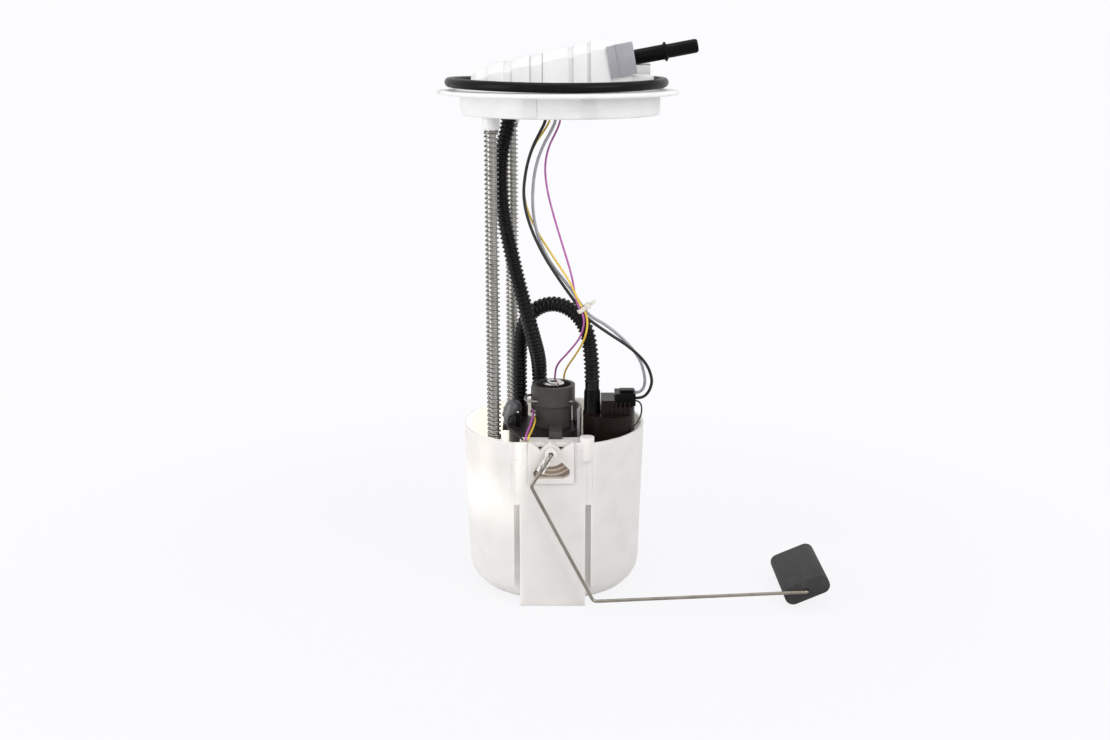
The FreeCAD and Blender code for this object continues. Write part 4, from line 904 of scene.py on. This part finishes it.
def painted(node: str, finish: Finish) -> None:
    """Give a hidden solid a finish where it stands."""
    solid = frame["nodes"][node]
    for place in solid.material_slots:
        place.material = PALETTE.of(finish)
    log.info("%s keeps its solid as %s", node, finish.name)


class Tree(Graph):
    """A geometry tree with named inputs."""

    def __init__(self, name: str, **inputs: str) -> None:
        """Start a tree with inputs, whose labels are listed under their kind of socket."""
        group = bpy.data.node_groups.new(name, "GeometryNodeTree")
        group.interface.new_socket("Geometry", in_out="INPUT", socket_type="NodeSocketGeometry")
        for kind, labels in {**inputs, "Material": "Material"}.items():
            for label in labels.split(", "):
                group.interface.new_socket(label, in_out="INPUT", socket_type=f"NodeSocket{kind}")
        group.interface.new_socket("Geometry", in_out="OUTPUT", socket_type="NodeSocketGeometry")
        super().__init__(group)
        self.entry = group.nodes.new("NodeGroupInput")

    def given(self, label: str) -> Socket:
        """The input of a name."""
        return Socket(self, self.entry.outputs[label])

    def close(self, shape: Socket) -> None:
        """End the tree: real geometry, smooth, in the given material."""
        real = self.out("GeometryNodeRealizeInstances", None, {"Geometry": shape})
        soft = self.out("GeometryNodeSetShadeSmooth", None, {"Geometry": real})
        dressed = self.out("GeometryNodeSetMaterial", None, {"Geometry": soft, "Material": self.given("Material")})
        self.node("NodeGroupOutput", None, {"Geometry": dressed})

    def run(self, name: str, finish: Finish, values: dict[str, Any], base: bpy.types.Mesh | None = None,
            angle: float = 180.0) -> bpy.types.Object:
        """Make a plain mesh with the tree.

        Args:
            name: the piece's name.
            finish: its finish.
            values: the named inputs.
            base: the mesh that the tree starts from, if it needs one.
            angle: the sharpest turn that is shaded smooth, in degrees.

        Returns:
            The piece.
        """
        piece = new_object(name, base or bpy.data.meshes.new(name))
        modifier = piece.modifiers.new("shape", "NODES")
        modifier.node_group = self.tree
        given = {**values, "Material": PALETTE.of(finish)}
        for item in self.tree.interface.items_tree:
            if item.in_out == "INPUT" and item.name in given:
                modifier[item.identifier] = given[item.name]
        plain(piece)
        smooth(piece.data, angle)
        return piece


def coil_tree() -> Tree:
    """A wound spring whose end turns lie close together."""
    tree = Tree("coil_spring", Float="Turns, Coil Radius, Wire Radius, Length, End Turns", Vector="Foot")
    given = tree.given
    closed_pitch = 2.06
    turns = given("Turns")
    wire = given("Wire Radius")
    spiral = tree.out("GeometryNodeCurveSpiral", None, {
        "Resolution": 20, "Rotations": turns, "Start Radius": given("Coil Radius"),
        "End Radius": given("Coil Radius"), "Height": given("Length")})
    share = tree.out("GeometryNodeSplineParameter", None, None, "Factor")
    ends = given("End Turns") / turns
    low = tree.maths("MINIMUM", share, ends)
    high = tree.maths("MAXIMUM", share - (1.0 - ends), 0.0)
    tight = wire * closed_pitch * turns
    middle = tree.clamp(share - ends, 0.0, 1.0 - ends * 2.0)
    open_rise = (given("Length") - wire * 2.0 - tight * ends * 2.0) / (1.0 - ends * 2.0)
    x, y, _ = tree.axes(tree.out("GeometryNodeInputPosition"))
    rise = (low + high) * tight + middle * open_rise + wire
    spot = tree.out("ShaderNodeCombineXYZ", None, {0: x, 1: y, 2: rise})
    wound = tree.out("GeometryNodeSetPosition", None, {"Geometry": spiral, "Position": spot})
    profile = tree.out("GeometryNodeCurvePrimitiveCircle", None, {"Resolution": 8, "Radius": wire})
    bar = tree.out("GeometryNodeCurveToMesh", None, {"Curve": wound, "Profile Curve": profile, "Fill Caps": True})
    tree.close(tree.out("GeometryNodeTransform", None, {"Geometry": bar, "Translation": given("Foot")}))
    return tree


def hose_tree() -> Tree:
    """A tube along a line, ribbed except towards its start, where it can be thinner."""
    tree = Tree("ribbed_tube", Float="Radius, Rib Height, Rib Pitch, Smooth To, Smooth Radius, Spacing", Int="Sides")
    given = tree.given
    steepness, run_out = 1.7, 0.003
    line = tree.out("GeometryNodeMeshToCurve", None, {"Mesh": given("Geometry")})
    fine = tree.out("GeometryNodeResampleCurve", {"mode": "LENGTH"}, {"Curve": line, "Length": given("Spacing")})
    along = tree.out("GeometryNodeSplineParameter", None, None, "Length")
    wave = tree.clamp(tree.maths("SINE", along / given("Rib Pitch") * math.tau) * steepness, -1.0, 1.0)
    ribbed = tree.clamp((along - given("Smooth To")) / run_out, 0.0, 1.0)
    ribbed_radius = given("Radius") - given("Rib Height") * (1.0 - wave) * 0.5
    scale = given("Smooth Radius") * (1.0 - ribbed) + ribbed_radius * ribbed
    profile = tree.out("GeometryNodeCurvePrimitiveCircle", None, {"Resolution": given("Sides"), "Radius": 1.0})
    tree.close(tree.out("GeometryNodeCurveToMesh", None, {
        "Curve": fine, "Profile Curve": profile, "Scale": scale, "Fill Caps": True}))
    return tree


def rib_row_tree() -> Tree:
    """A row of equal small blocks."""
    tree = Tree("rib_row", Int="Count", Vector="Start, Step, Size")
    given = tree.given
    line = tree.out("GeometryNodeMeshLine", None, {
        "Count": given("Count"), "Start Location": given("Start"), "Offset": given("Step")})
    rib = tree.out("GeometryNodeMeshCube", None, {"Size": given("Size")})
    tree.close(tree.out("GeometryNodeInstanceOnPoints", None, {"Points": line, "Instance": rib}))
    return tree


def rib_ring_tree() -> Tree:
    """A ring of equal small blocks about an upright axis."""
    tree = Tree("rib_ring", Int="Count", Float="Radius", Vector="Size, Centre")
    given = tree.given
    line = tree.out("GeometryNodeMeshLine", None, {"Count": given("Count"), "Offset": (0.0, 0.0, 0.0)})
    rib = tree.out("GeometryNodeMeshCube", None, {"Size": given("Size")})
    reach = tree.out("ShaderNodeCombineXYZ", None, {0: given("Radius")})
    moved = tree.out("GeometryNodeTransform", None, {"Geometry": rib, "Translation": reach})
    turn = tree.out("GeometryNodeInputIndex") * math.tau / given("Count")
    turned = tree.out("FunctionNodeAxisAngleToRotation", None, {"Axis": (0.0, 0.0, 1.0), "Angle": turn})
    ring = tree.out("GeometryNodeInstanceOnPoints", None, {"Points": line, "Instance": moved, "Rotation": turned})
    tree.close(tree.out("GeometryNodeTransform", None, {"Geometry": ring, "Translation": given("Centre")}))
    return tree


def metres(*values: float) -> tuple[float, ...]:
    """Millimetres as metres."""
    return tuple(value * MM for value in values)


def route_line(route: Route) -> tuple[bpy.types.Mesh, list[Point]]:
    """The smooth line of a route.

    Args:
        route: the control points in metres.

    Returns:
        A mesh of the line's edges, and the line's points.
    """
    curve = bpy.data.curves.new("route", "CURVE")
    curve.dimensions = "3D"
    spline = curve.splines.new("NURBS")
    spline.points.add(len(route) - 1)
    for spot, place in zip(spline.points, route):
        spot.co = (*place, 1.0)
    spline.order_u = 3
    spline.use_endpoint_u = True
    spline.resolution_u = 10
    holder = new_object("route", curve)
    graph = bpy.context.evaluated_depsgraph_get()
    line = bpy.data.meshes.new_from_object(holder.evaluated_get(graph), depsgraph=graph)
    points = [tuple(vertex.co) for vertex in line.vertices]
    bpy.data.objects.remove(holder)
    bpy.data.curves.remove(curve)
    return line, points


@dataclass
class Squash:
    """How a piece between the flange and the bucket shortens as the bucket rises."""

    foot: float
    top: float
    travel: float = 0.030

    def give(self, piece: bpy.types.Object) -> None:
        """Let the piece shorten towards its foot."""
        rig.squash(piece, "bucket_slide", axis=(0, 0, 1), anchor=(0, 0, self.foot),
                  keep=1.0 - self.travel / (self.top - self.foot))


@dataclass
class Cord:
    """One hose or wire: its route, its section and what it is made of."""

    name: str
    route: Route
    radius: float
    length: float
    finish: Finish
    stiffness: str = "medium"
    rib_height: float = 0.0
    rib_pitch: float = 2.65
    smooth_to: float = -3.0
    smooth_radius: float = 0.0
    squashed: bool = False

    def build(self, tree: Tree) -> bpy.types.Object:
        """Args:
            tree: the tube's tree.

        Returns:
            The piece.
        """
        line, path = route_line(self.route)
        ribbed = self.rib_height > 0
        piece = tree.run(f"{self.name}_look", self.finish, {
            "Radius": self.radius * MM, "Rib Height": self.rib_height * MM, "Rib Pitch": self.rib_pitch * MM,
            "Smooth To": self.smooth_to * MM, "Smooth Radius": (self.smooth_radius or self.radius) * MM,
            "Spacing": (0.33 if ribbed else 0.6) * MM,
            "Sides": 28 if ribbed else 12}, line)
        settle(piece, Body.BUCKET, self.finish, [self.name])
        if self.squashed:
            Squash(self.route[-1][2], self.route[0][2]).give(piece)
        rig.cord(piece, exit=self.route[0], length=self.length * MM, diameter=self.radius * 2 * MM,
                far_end="object", stiffness=self.stiffness, lay="hanging", path=path)
        return piece


@dataclass
class Harness:
    """Hoses, wires and the tie between the flange and the bucket."""

    hose_radius: float = 4.7
    thick_wire: float = 0.9
    thin_wire: float = 0.6
    ground_wire: float = 0.5
    tie_place: Point = (13.0, -24.1, -122.6)
    tie_heading: Point = (0.55, -0.05, -0.83)
    tie_side: Point = (0.833, 0.0, 0.552)
    tie_inner: float = 2.35
    tie_outer: float = 3.05
    tie_width: float = 2.4

    def cords(self) -> list[Cord]:
        """Every hose and wire."""
        return [
            Cord("outlet_hose", OUTLET_HOSE, self.hose_radius, 175, HOSE, "stiff", 0.95, squashed=True),
            Cord("loop_hose", LOOP_HOSE, self.hose_radius, 156, HOSE, "stiff", 0.95, smooth_to=18.0,
                 smooth_radius=4.2),
            Cord("black_wire", BLACK_WIRE, self.thick_wire, 207, BLACK_SHEATH, squashed=True),
            Cord("grey_wire", GREY_WIRE, self.thick_wire, 199, GREY_SHEATH, squashed=True),
            Cord("yellow_wire", YELLOW_WIRE, self.thin_wire, 196, YELLOW_SHEATH, squashed=True),
            Cord("purple_wire", PURPLE_WIRE, self.thin_wire, 186, PURPLE_SHEATH, squashed=True),
            Cord("purple_lead", PURPLE_LEAD, self.thin_wire, 68.8, PURPLE_SHEATH),
            Cord("yellow_lead", YELLOW_LEAD, self.thin_wire, 71.4, YELLOW_SHEATH),
            Cord("black_lead", BLACK_LEAD, self.thin_wire, 36, BLACK_SHEATH),
            Cord("ground_lead", GROUND_LEAD, self.ground_wire, 30.2, BLACK_SHEATH),
        ]

    def tie(self) -> None:
        """The tie round the four wires, with its head and tail up and to the right."""
        heading = Vector(self.tie_heading).normalized()
        side = Vector(self.tie_side)
        side = (side - heading * side.dot(heading)).normalized()
        turn = Matrix((side, heading.cross(side), heading)).transposed().to_4x4()
        place = at(*self.tie_place) @ turn
        half = self.tie_width / 2
        form = Form().lathe([(self.tie_inner, -half), (self.tie_outer, -half), (self.tie_outer, half),
                             (self.tie_inner, half)], place, 40)
        form.block((self.tie_outer - 0.7, -1.9, -half - 0.5), (self.tie_outer + 2.4, 1.9, half + 0.5), place)
        form.block((self.tie_outer + 2.2, -0.35, -half + 0.2), (self.tie_outer + 6.4, 0.35, half - 0.2), place)
        piece = form.finish("zip_tie", Body.BUCKET, NATURAL, 0.18)
        Squash(BLACK_WIRE[-1][2], BLACK_WIRE[0][2]).give(piece)

    def build(self) -> None:
        """Make every cord and the tie."""
        tree = hose_tree()
        for cord in self.cords():
            cord.build(tree)
        self.tie()


@dataclass
class FlangeTop:
    """The white flange with its turret, the nipple, the loose seal ring and what hangs under it."""

    plate: float = 69.0
    thick: float = 2.8
    skirt: float = 58.1
    depth: float = 11.5
    turret_front: float = -16.0
    turret_back: float = 24.0
    roof_fall: float = 5.5
    roof_run: float = 9.0
    seal_radius: float = 62.0
    seal_section: float = 2.75
    seal_wave: float = 0.75
    seal_low: float = 281.0
    nipple_place: Point = (42.8, -10.0, 20.9)
    nipple_tilt: float = 10.5
    roof: Outline = ((-52.0, 10.0), (-47.9, 15.2), (-32.5, 18.9), (-18.8, 22.0), (-11.4, 23.2), (-5.0, 25.2),
                     (7.3, 27.5), (20.3, 30.9), (29.0, 31.0))

    def top_at(self, x: float) -> float:
        """The turret's height at a place across."""
        for (left, low), (right, high) in zip(self.roof, self.roof[1:]):
            if x <= right:
                return low + (high - low) * max(0.0, x - left) / (right - left)
        return self.roof[-1][1]

    def turret_slice(self, left: float, right: float, inset: float, drop: float, form: Form) -> None:
        """One stretch of the turret under a sloping roof, set in from its faces and lowered by a drop."""
        front, back, low = self.turret_front + inset, self.turret_back - inset, self.thick - 1.2
        rows = []
        for x in [left] + [x for x, _ in self.roof[1:-1] if left < x < right] + [right]:
            top = self.top_at(x) - drop
            eaves = max(low + 0.5, top - self.roof_fall)
            section = [(front, low), (front, eaves), (front + self.roof_run, top), (back - self.roof_run, top),
                       (back, eaves), (back, low)]
            rows.append([(x, y, z) for y, z in section])
        form.loft(rows)

    def nipple_axis(self) -> Matrix:
        """The place whose Z axis is the nipple's."""
        return at(*self.nipple_place) @ Matrix.Rotation(math.radians(90.0 - self.nipple_tilt), 4, "Y")

    def moulding(self) -> None:
        """The whole white moulding."""
        form = Form().lathe([
            (0, self.thick), (61.5, self.thick), (62.0, self.thick - 0.35), (67.6, self.thick - 0.35),
            (68.6, 2.1), (self.plate, 1.6), (self.plate, 0.6), (68.5, 0), (self.skirt + 0.3, 0),
            (self.skirt, -0.3), (self.skirt, -self.depth + 1.2), (self.skirt - 0.4, -self.depth + 0.4),
            (self.skirt - 1.2, -self.depth), (self.skirt - 2.1, -self.depth), (self.skirt - 2.6, -self.depth + 0.5),
            (self.skirt - 2.6, -0.4), (self.skirt - 3.0, 0), (0, 0)], steps=180)
        form.block((-self.plate - 2.2, -4.5, 0.1), (-self.plate + 2, 4.5, self.thick - 0.3))
        for middle in (-106.8, -74.8):
            form.sector((self.skirt - 1.0, self.skirt + 0.3), (middle - 4.2, middle + 4.2), (-self.depth + 0.9, -0.2))
        self.turret_slice(-51.2, 28.4, 1.5, 1.0, form)
        for left, right in ((-41.0, -32.2), (-27.3, -17.4), (-9.9, 4.4), (7.6, 15.2), (17.4, 29.0)):
            self.turret_slice(left, right, 0.0, 0.0, form)
        self.turret_slice(-17.0, -10.2, 0.7, 0.4, form)
        axis = self.nipple_axis()
        form.lathe([(0, -9.0), (7.2, -9.0), (7.2, -0.9), (0, -0.9)], axis)
        form.block((27.0, -14.5, 1.8), (41.0, -6.0, 13.5))
        self.shroud(form)
        for _, x, y in RODS:
            form.lathe([(3.02, -18.5), (4.5, -18.5), (5.0, -17.8), (5.0, -2.0), (5.8, 0.3), (3.02, 0.3)], at(x, y))
            for turn in range(4):
                spin = at(x, y) @ Matrix.Rotation(math.radians(45 + 90 * turn), 4, "Z")
                form.prism([(4.6, 0.3), (8.6, 0.3), (8.2, -1.2), (4.6, -9.5)], -0.6, 0.6, spin)
        form.finish("flange", Body.FLANGE, WHITE, 0.35)

    @staticmethod
    def shroud(form: Form) -> None:
        """The plug socket at the right: four thin walls round the pins on a solid root."""
        form.block((22.0, 20.0, 8.9), (41.0, 36.0, 17.1))
        form.block((22.0, 20.0, 1.8), (34.0, 30.0, 9.9))
        for low, high in (((40.6, 20.0, 8.9), (53.6, 36.0, 10.2)), ((40.6, 20.0, 15.8), (53.6, 36.0, 17.1)),
                          ((40.6, 20.0, 9.4), (53.6, 21.3, 16.6)), ((40.6, 34.7, 9.4), (53.6, 36.0, 16.6))):
            form.block(low, high)
        form.block((43.4, 20.2, 16.9), (53.0, 29.0, 18.0))

    def nipple(self) -> None:
        """The outlet nipple with its bead and rounded mouth."""
        profile = [(2.6, -9), (3.97, -9), (3.97, -0.05), (4.3, 0.05), (4.3, 15.9), (4.6, 16.4), (5.2, 16.7),
                   (5.45, 17.0), (5.45, 17.7), (5.2, 18.0), (4.4, 18.3), (3.97, 18.7), (3.97, 34.5), (3.82, 35.2),
                   (3.5, 35.8), (3.15, 36.0), (2.9, 36.0), (2.6, 35.7)]
        form = Form().lathe(profile, self.nipple_axis(), 64)
        form.finish("fuel_outlet_nipple", Body.FLANGE, BLACK, 0, 40)

    def seal(self) -> None:
        """The loose seal ring, lying on the plate in a slight wave."""
        points = []
        for i in range(240):
            turn = math.tau * i / 240
            wave = turn - math.radians(self.seal_low)
            lift = self.seal_wave * (0.7 * (1 - math.cos(2 * wave)) + 0.3 * (1 - math.cos(wave)))
            points.append(Vector((-2.0 + self.seal_radius * math.cos(turn), self.seal_radius * math.sin(turn),
                                  self.thick + self.seal_section + 0.05 + lift)))
        Form().ring(points, self.seal_section, 28).finish("seal_ring", Body.FLANGE, SEAL, 0, 180)

    def collar(self) -> None:
        """The block that the nipple grows from, its left part set back a little; it is white moulding painted grey-blue
        as painted shade.
        """
        axis = self.nipple_axis()
        form = Form().block((-8.8, -7.3, -15.5), (8.8, 7.3, -10.4), axis)
        form.block((-9.0, -7.7, -10.6), (9.0, 7.7, -0.6), axis)
        form.finish("nipple_collar_look", Body.FLANGE, COLLAR_PAINTED_SHADE, 0.4)

    def cap(self) -> None:
        """The low round valve cap with a stepped top."""
        profile = [(0, 10.1), (4.2, 10.1), (4.6, 10.8), (9.4, 10.8), (11.0, 10.5), (12.1, 9.6), (12.5, 8.2),
                   (12.5, 2.7), (0, 2.7)]
        Form().lathe(profile, at(42.5, 7.0), 72).finish("vapour_valve_cap", Body.FLANGE, WHITE, 0.2)

    def build(self) -> None:
        """Make the flange's pieces."""
        self.moulding()
        self.nipple()
        self.collar()
        self.seal()
        self.cap()
        stub = Form().lathe([(2.5, -9), (4.3, -9), (4.7, -8.4), (4.7, -7.0), (4.2, -6.6), (4.7, -5.2), (4.2, -4.8),
                             (4.7, -3.4), (4.7, 0), (2.5, 0)], at(-29.7, 2.0), 48)
        stub.finish("inner_hose_stub", Body.FLANGE, BLACK, 0, 40)
        plug = Form().block((-11, -14.5, -10.5), (3, -6.5, 0))
        for x, y in ((-8.1, -12.0), (-2.3, -12.0), (-5.6, -9.0), (0.4, -9.0)):
            plug.lathe([(0.95, -10.9), (1.5, -10.9), (1.5, -10.2), (0.95, -10.2)], at(x, y), 24)
        plug.finish("harness_plug", Body.FLANGE, WHITE, 0.4)
        redraw(Body.FLANGE, ("terminal_pins", CONTACT))


@dataclass
class GuideLegs:
    """The two guide rods with their long springs."""

    outer: float = 4.2
    wire: float = 0.45
    foot: float = -199.35
    top: float = -18.55
    turns: float = 70.0

    def build(self) -> None:
        """Make rods, springs and the rings that hold the bucket."""
        tree = coil_tree()
        for side, x, y in RODS:
            redraw(Body.FLANGE, (f"guide_rod_{side}", STEEL))
            spring = tree.run(f"spring_{side}_look", SPRING_STEEL, {
                "Turns": self.turns, "Coil Radius": (self.outer - self.wire) * MM, "Wire Radius": self.wire * MM,
                "Length": (self.top - self.foot) * MM, "End Turns": 2.0, "Foot": metres(x, y, self.foot)})
            settle(spring, Body.BUCKET, SPRING_STEEL, [f"spring_{side}"])
            Squash(self.foot * MM, self.top * MM).give(spring)
        redraw(Body.FLANGE, ("rod_rings", STEEL))


@dataclass
class Reservoir:
    """The white bucket and what works at its floor."""

    shade_angle: float = 28.0

    def build(self) -> None:
        """Make the bucket and dress the floor's parts."""
        redraw(Body.BUCKET, ("bucket", BUCKET_WHITE, self.shade_angle), ("jet_pump", GREY),
               ("floor_valve", SOFT_RUBBER))


@dataclass
class LevelSender:
    """The level sender on the bucket's front with its swinging arm."""

    rivet_place: Point = (-14.6, -50.4, -211.7)
    rivet_radius: float = 0.75

    def rivet(self) -> None:
        """The small brown rivet beside the window."""
        place = at(*self.rivet_place) @ Matrix.Rotation(math.radians(-90.0), 4, "X")
        profile = [(0, 0), (self.rivet_radius - 0.2, 0), (self.rivet_radius, 0.2), (self.rivet_radius, 0.8), (0, 0.8)]
        Form().lathe(profile, place, 24).finish("sender_rivet", Body.BUCKET, CONTACT)

    def build(self) -> None:
        """Make the sender, its arm and clip."""
        redraw(Body.BUCKET, ("sender_housing", SENDER_WHITE))
        self.rivet()
        redraw(Body.BUCKET, ("resistor_card", CARD), ("sender_terminals", CONTACT))
        redraw(Body.ARM, ("sender_rotor", SENDER_WHITE), ("float_arm", ARM_STEEL, 50.0), ("wiper", CONTACT),
               ("float_clip", STEEL))


@dataclass
class FloatBlock:
    """The foam float on the arm's end."""

    length: float = 52.0
    width: float = 28.0
    thick: float = 12.0
    corner: float = 5.0
    place: Point = (146.6, -53.2, -286.3)
    turn: float = 23.6

    def outline(self) -> list[tuple[float, float]]:
        """The float's rounded section."""
        spots = []
        for sx, sz, first in ((1, 1, 0), (-1, 1, 90), (-1, -1, 180), (1, -1, 270)):
            for step in range(7):
                turn = math.radians(first + 15 * step)
                spots.append((sx * (self.width / 2 - self.corner) + self.corner * math.cos(turn),
                              sz * (self.thick / 2 - self.corner) + self.corner * math.sin(turn)))
        return spots

    def build(self) -> None:
        """Make the float."""
        place = at(*self.place) @ Matrix.Rotation(math.radians(self.turn), 4, Vector((0, -1, 0)))
        Form().prism(self.outline(), 0.0, self.length, place).finish("float", Body.FLOAT, FOAM, 0.7, 40)


@dataclass
class PumpUnit:
    """The pump with its cover, plug and hose cuff."""

    cuff_place: Point = (19.4, -16.0, -187.0)
    rib_start: Point = (28.4, -24.1, -182.6)
    rib_step: float = 2.6
    rib_size: Point = (1.1, 1.0, 7.6)

    def cuff(self) -> None:
        """The cuff over the loop hose's end, flared at its foot."""
        profile = [(4.3, 0), (5.3, 0), (5.3, 0.6), (4.95, 1.6), (4.85, 12.6), (4.6, 13.8), (4.3, 14.0)]
        Form().lathe(profile, at(*self.cuff_place), 48).finish("hose_cuff", Body.BUCKET, BLACK, 0, 40)

    def build(self, rows: Tree) -> None:
        """Make the cover's details and dress the pump.

        Args:
            rows: the tree for rows of ribs.
        """
        redraw(Body.BUCKET, ("pump_cover", BROWN, 28.0), ("pump_plug", BLACK))
        self.cuff()
        redraw(Body.BUCKET, ("pump_can", STEEL), ("pump_isolator", SOFT_RUBBER), ("inlet_strainer", MESH))
        ribs = rows.run("cover_ribs", BROWN, {
            "Count": 6, "Start": metres(*self.rib_start), "Step": metres(self.rib_step, 0, 0),
            "Size": metres(*self.rib_size)}, angle=30.0)
        settle(ribs, Body.BUCKET, BROWN)
        for node, finish in (("pump_magnets", MAGNET), ("pump_outlet_cap", GREY), ("pump_inlet_cap", GREY)):
            painted(node, finish)
        redraw(Body.ROTOR, ("pump_armature", WINDING), ("pump_impeller", GREY))


@dataclass
class FilterUnit:
    """The filter canister with its lid, element and fittings."""

    across: float = -9.6
    side: float = -12.0
    pleats: int = 60
    tip_place: Point = (-25.3, -14.0, -188.2)

    def build(self, rings: Tree) -> None:
        """Make the element's pleats and dress the canister.

        Args:
            rings: the tree for rings of ribs.
        """
        redraw(Body.BUCKET, ("filter_case", CANISTER), ("filter_lid", CANISTER), ("filter_shield", PALE_GREY),
               ("relief_valve", VALVE_GREY, 40.0), ("lead_post", BLACK))
        tip = Form().lathe([(0, 0.9), (0.6, 0.8), (0.75, 0.4), (0.75, 0), (0, 0)], at(*self.tip_place), 20)
        tip.finish("lead_tip", Body.BUCKET, TIP_WHITE)
        pleats = rings.run("filter_element_look", PAPER, {
            "Count": self.pleats, "Radius": 13.8 * MM, "Size": metres(9.6, 0.7, 59.8),
            "Centre": metres(self.across, self.side, -230.5)}, angle=30.0)
        settle(pleats, Body.BUCKET, PAPER, ["filter_element"])


@dataclass
class RegulatorUnit:
    """The grey regulator housing, its regulator, clip and the sender's plug."""

    across: float = -3.8
    side: float = -10.0
    hole_shade_radius: float = 2.2
    hole_shade_floor: float = -172.3

    def build(self) -> None:
        """Dress the housing and the regulator, and put a black disc in the cap's hole as painted shade."""
        redraw(Body.BUCKET, ("regulator_housing", GREY, 28.0), ("pressure_regulator", CAP_STEEL, 40.0),
               ("regulator_clip", STEEL, 50.0), ("sender_plug", BLACK))
        # painted shade: a black disc at the floor of the cap's hole, where there is only shade
        mouth = Form().lathe([(0, 0.5), (self.hole_shade_radius - 0.4, 0.5), (self.hole_shade_radius, 0), (0, 0)],
                             at(self.across, self.side, self.hole_shade_floor), 32)
        mouth.finish("regulator_mouth", Body.BUCKET, BLACK)
        painted("regulator_seal", SOFT_RUBBER)


@dataclass
class Studio:
    """Camera, pale floor and soft light."""

    camera_place: Point = (-0.0029, -0.796, 0.032)
    pitch: float = 13.9
    lens: float = 43.62
    floor: float = -0.2985
    ambient: float = 0.76
    backdrop: Point = (0.974, 0.974, 0.991)
    floor_half: float = 4.0
    floor_colour: Point = (0.66, 0.66, 0.67)
    near_share: float = 0.88
    fade: tuple[float, float] = (0.20, 0.42)
    lamps: tuple[tuple[str, Point, float, float], ...] = (
        ("left_light", (-1.1, -0.6, 0.35), 0.7, 3.5), ("low_left_light", (-0.6, -0.3, -0.16), 0.35, 1.2),
        ("top_light", (-0.1, -0.1, 1.2), 0.8, 5.0), ("right_light", (0.8, -0.75, 0.45), 0.7, 6.0))

    def camera(self) -> None:
        """The camera of the photograph's view."""
        data = bpy.data.cameras.new("camera")
        data.lens = self.lens
        data.sensor_width = 36.0
        data.clip_start = 0.01
        camera = new_object("camera", data)
        camera.location = self.camera_place
        camera.rotation_euler = (math.radians(90.0 - self.pitch), 0.0, 0.0)
        bpy.context.scene.camera = camera

    @staticmethod
    def seen(graph: Graph) -> Socket:
        """1 for rays that show the background, and 0 for those that light the object."""
        path = graph.node("ShaderNodeLightPath")
        names = ("Is Camera Ray", "Is Glossy Ray", "Is Transmission Ray")
        first, second, third = (Socket(graph, path.outputs[name]) for name in names)
        return graph.maths("MAXIMUM", graph.maths("MAXIMUM", first, second), third)

    def world(self) -> None:
        """A white surrounding that lights the object less than it shows."""
        world = bpy.data.worlds.new("surrounding")
        world.use_nodes = True
        world.node_tree.nodes.clear()
        graph = Graph(world.node_tree)
        strength = self.seen(graph) * (1.0 - self.ambient) + self.ambient
        light = graph.out("ShaderNodeBackground", None, {"Color": (*self.backdrop, 1.0), "Strength": strength})
        graph.node("ShaderNodeOutputWorld", None, {"Surface": light})
        bpy.context.scene.world = world

    def ground(self) -> None:
        """The pale floor, which shows a faint shadow near the object only."""
        data = bpy.data.meshes.new("floor")
        corners = [(x * self.floor_half, y * self.floor_half, self.floor)
                   for x, y in ((-1, -1), (1, -1), (1, 1), (-1, 1))]
        data.from_pydata(corners, [], [(0, 1, 2, 3)])
        surface = Surface("floor")
        x, y, _ = surface.axes(surface.place)
        far = surface.step(surface.reach(x, y), *self.fade)
        matt = surface.out("ShaderNodeBsdfDiffuse", None, {"Color": (*self.floor_colour, 1.0)})
        glow = surface.out("ShaderNodeEmission", None, {"Color": (*self.backdrop, 1.0), "Strength": 1.0})
        share = self.seen(surface) * (far * (1.0 - self.near_share) + self.near_share)
        mixed = surface.out("ShaderNodeMixShader", None, {0: share, 1: matt, 2: glow})
        surface.node("ShaderNodeOutputMaterial", None, {"Surface": mixed})
        data.materials.append(surface.material)
        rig.stage(new_object("floor", data))

    @staticmethod
    def lamp(name: str, place: Point, size: float, power: float) -> None:
        """A square soft light that faces the object's middle.

        Args:
            name: the light's name.
            place: where it hangs.
            size: its side in metres.
            power: its power in watts.
        """
        data = bpy.data.lights.new(name, "AREA")
        data.size = size
        data.energy = power
        lamp = new_object(name, data)
        lamp.location = place
        heading = Vector((0.0, 0.0, -0.13)) - Vector(place)
        lamp.rotation_euler = heading.to_track_quat("-Z", "Y").to_euler()

    def build(self) -> None:
        """Set the stage."""
        self.camera()
        self.world()
        self.ground()
        for row in self.lamps:
            self.lamp(*row)
        bpy.context.scene.view_settings.view_transform = "Standard"


def main() -> None:
    """Build every sub-assembly in order."""
    logging.basicConfig(level=logging.INFO, format="%(message)s")
    Studio().build()
    Harness().build()
    rows = rib_row_tree()
    rings = rib_ring_tree()
    FlangeTop().build()
    GuideLegs().build()
    Reservoir().build()
    LevelSender().build()
    FloatBlock().build()
    PumpUnit().build(rows)
    FilterUnit().build(rings)
    RegulatorUnit().build()
    sizes = {"cad": [list(corner) for corner in CAD_BOX], "visual": [list(corner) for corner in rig.bounds()]}
    with open("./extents.json", "w", encoding="utf-8") as file:
        json.dump(sizes, file)


if __name__ == "__main__":
    main()
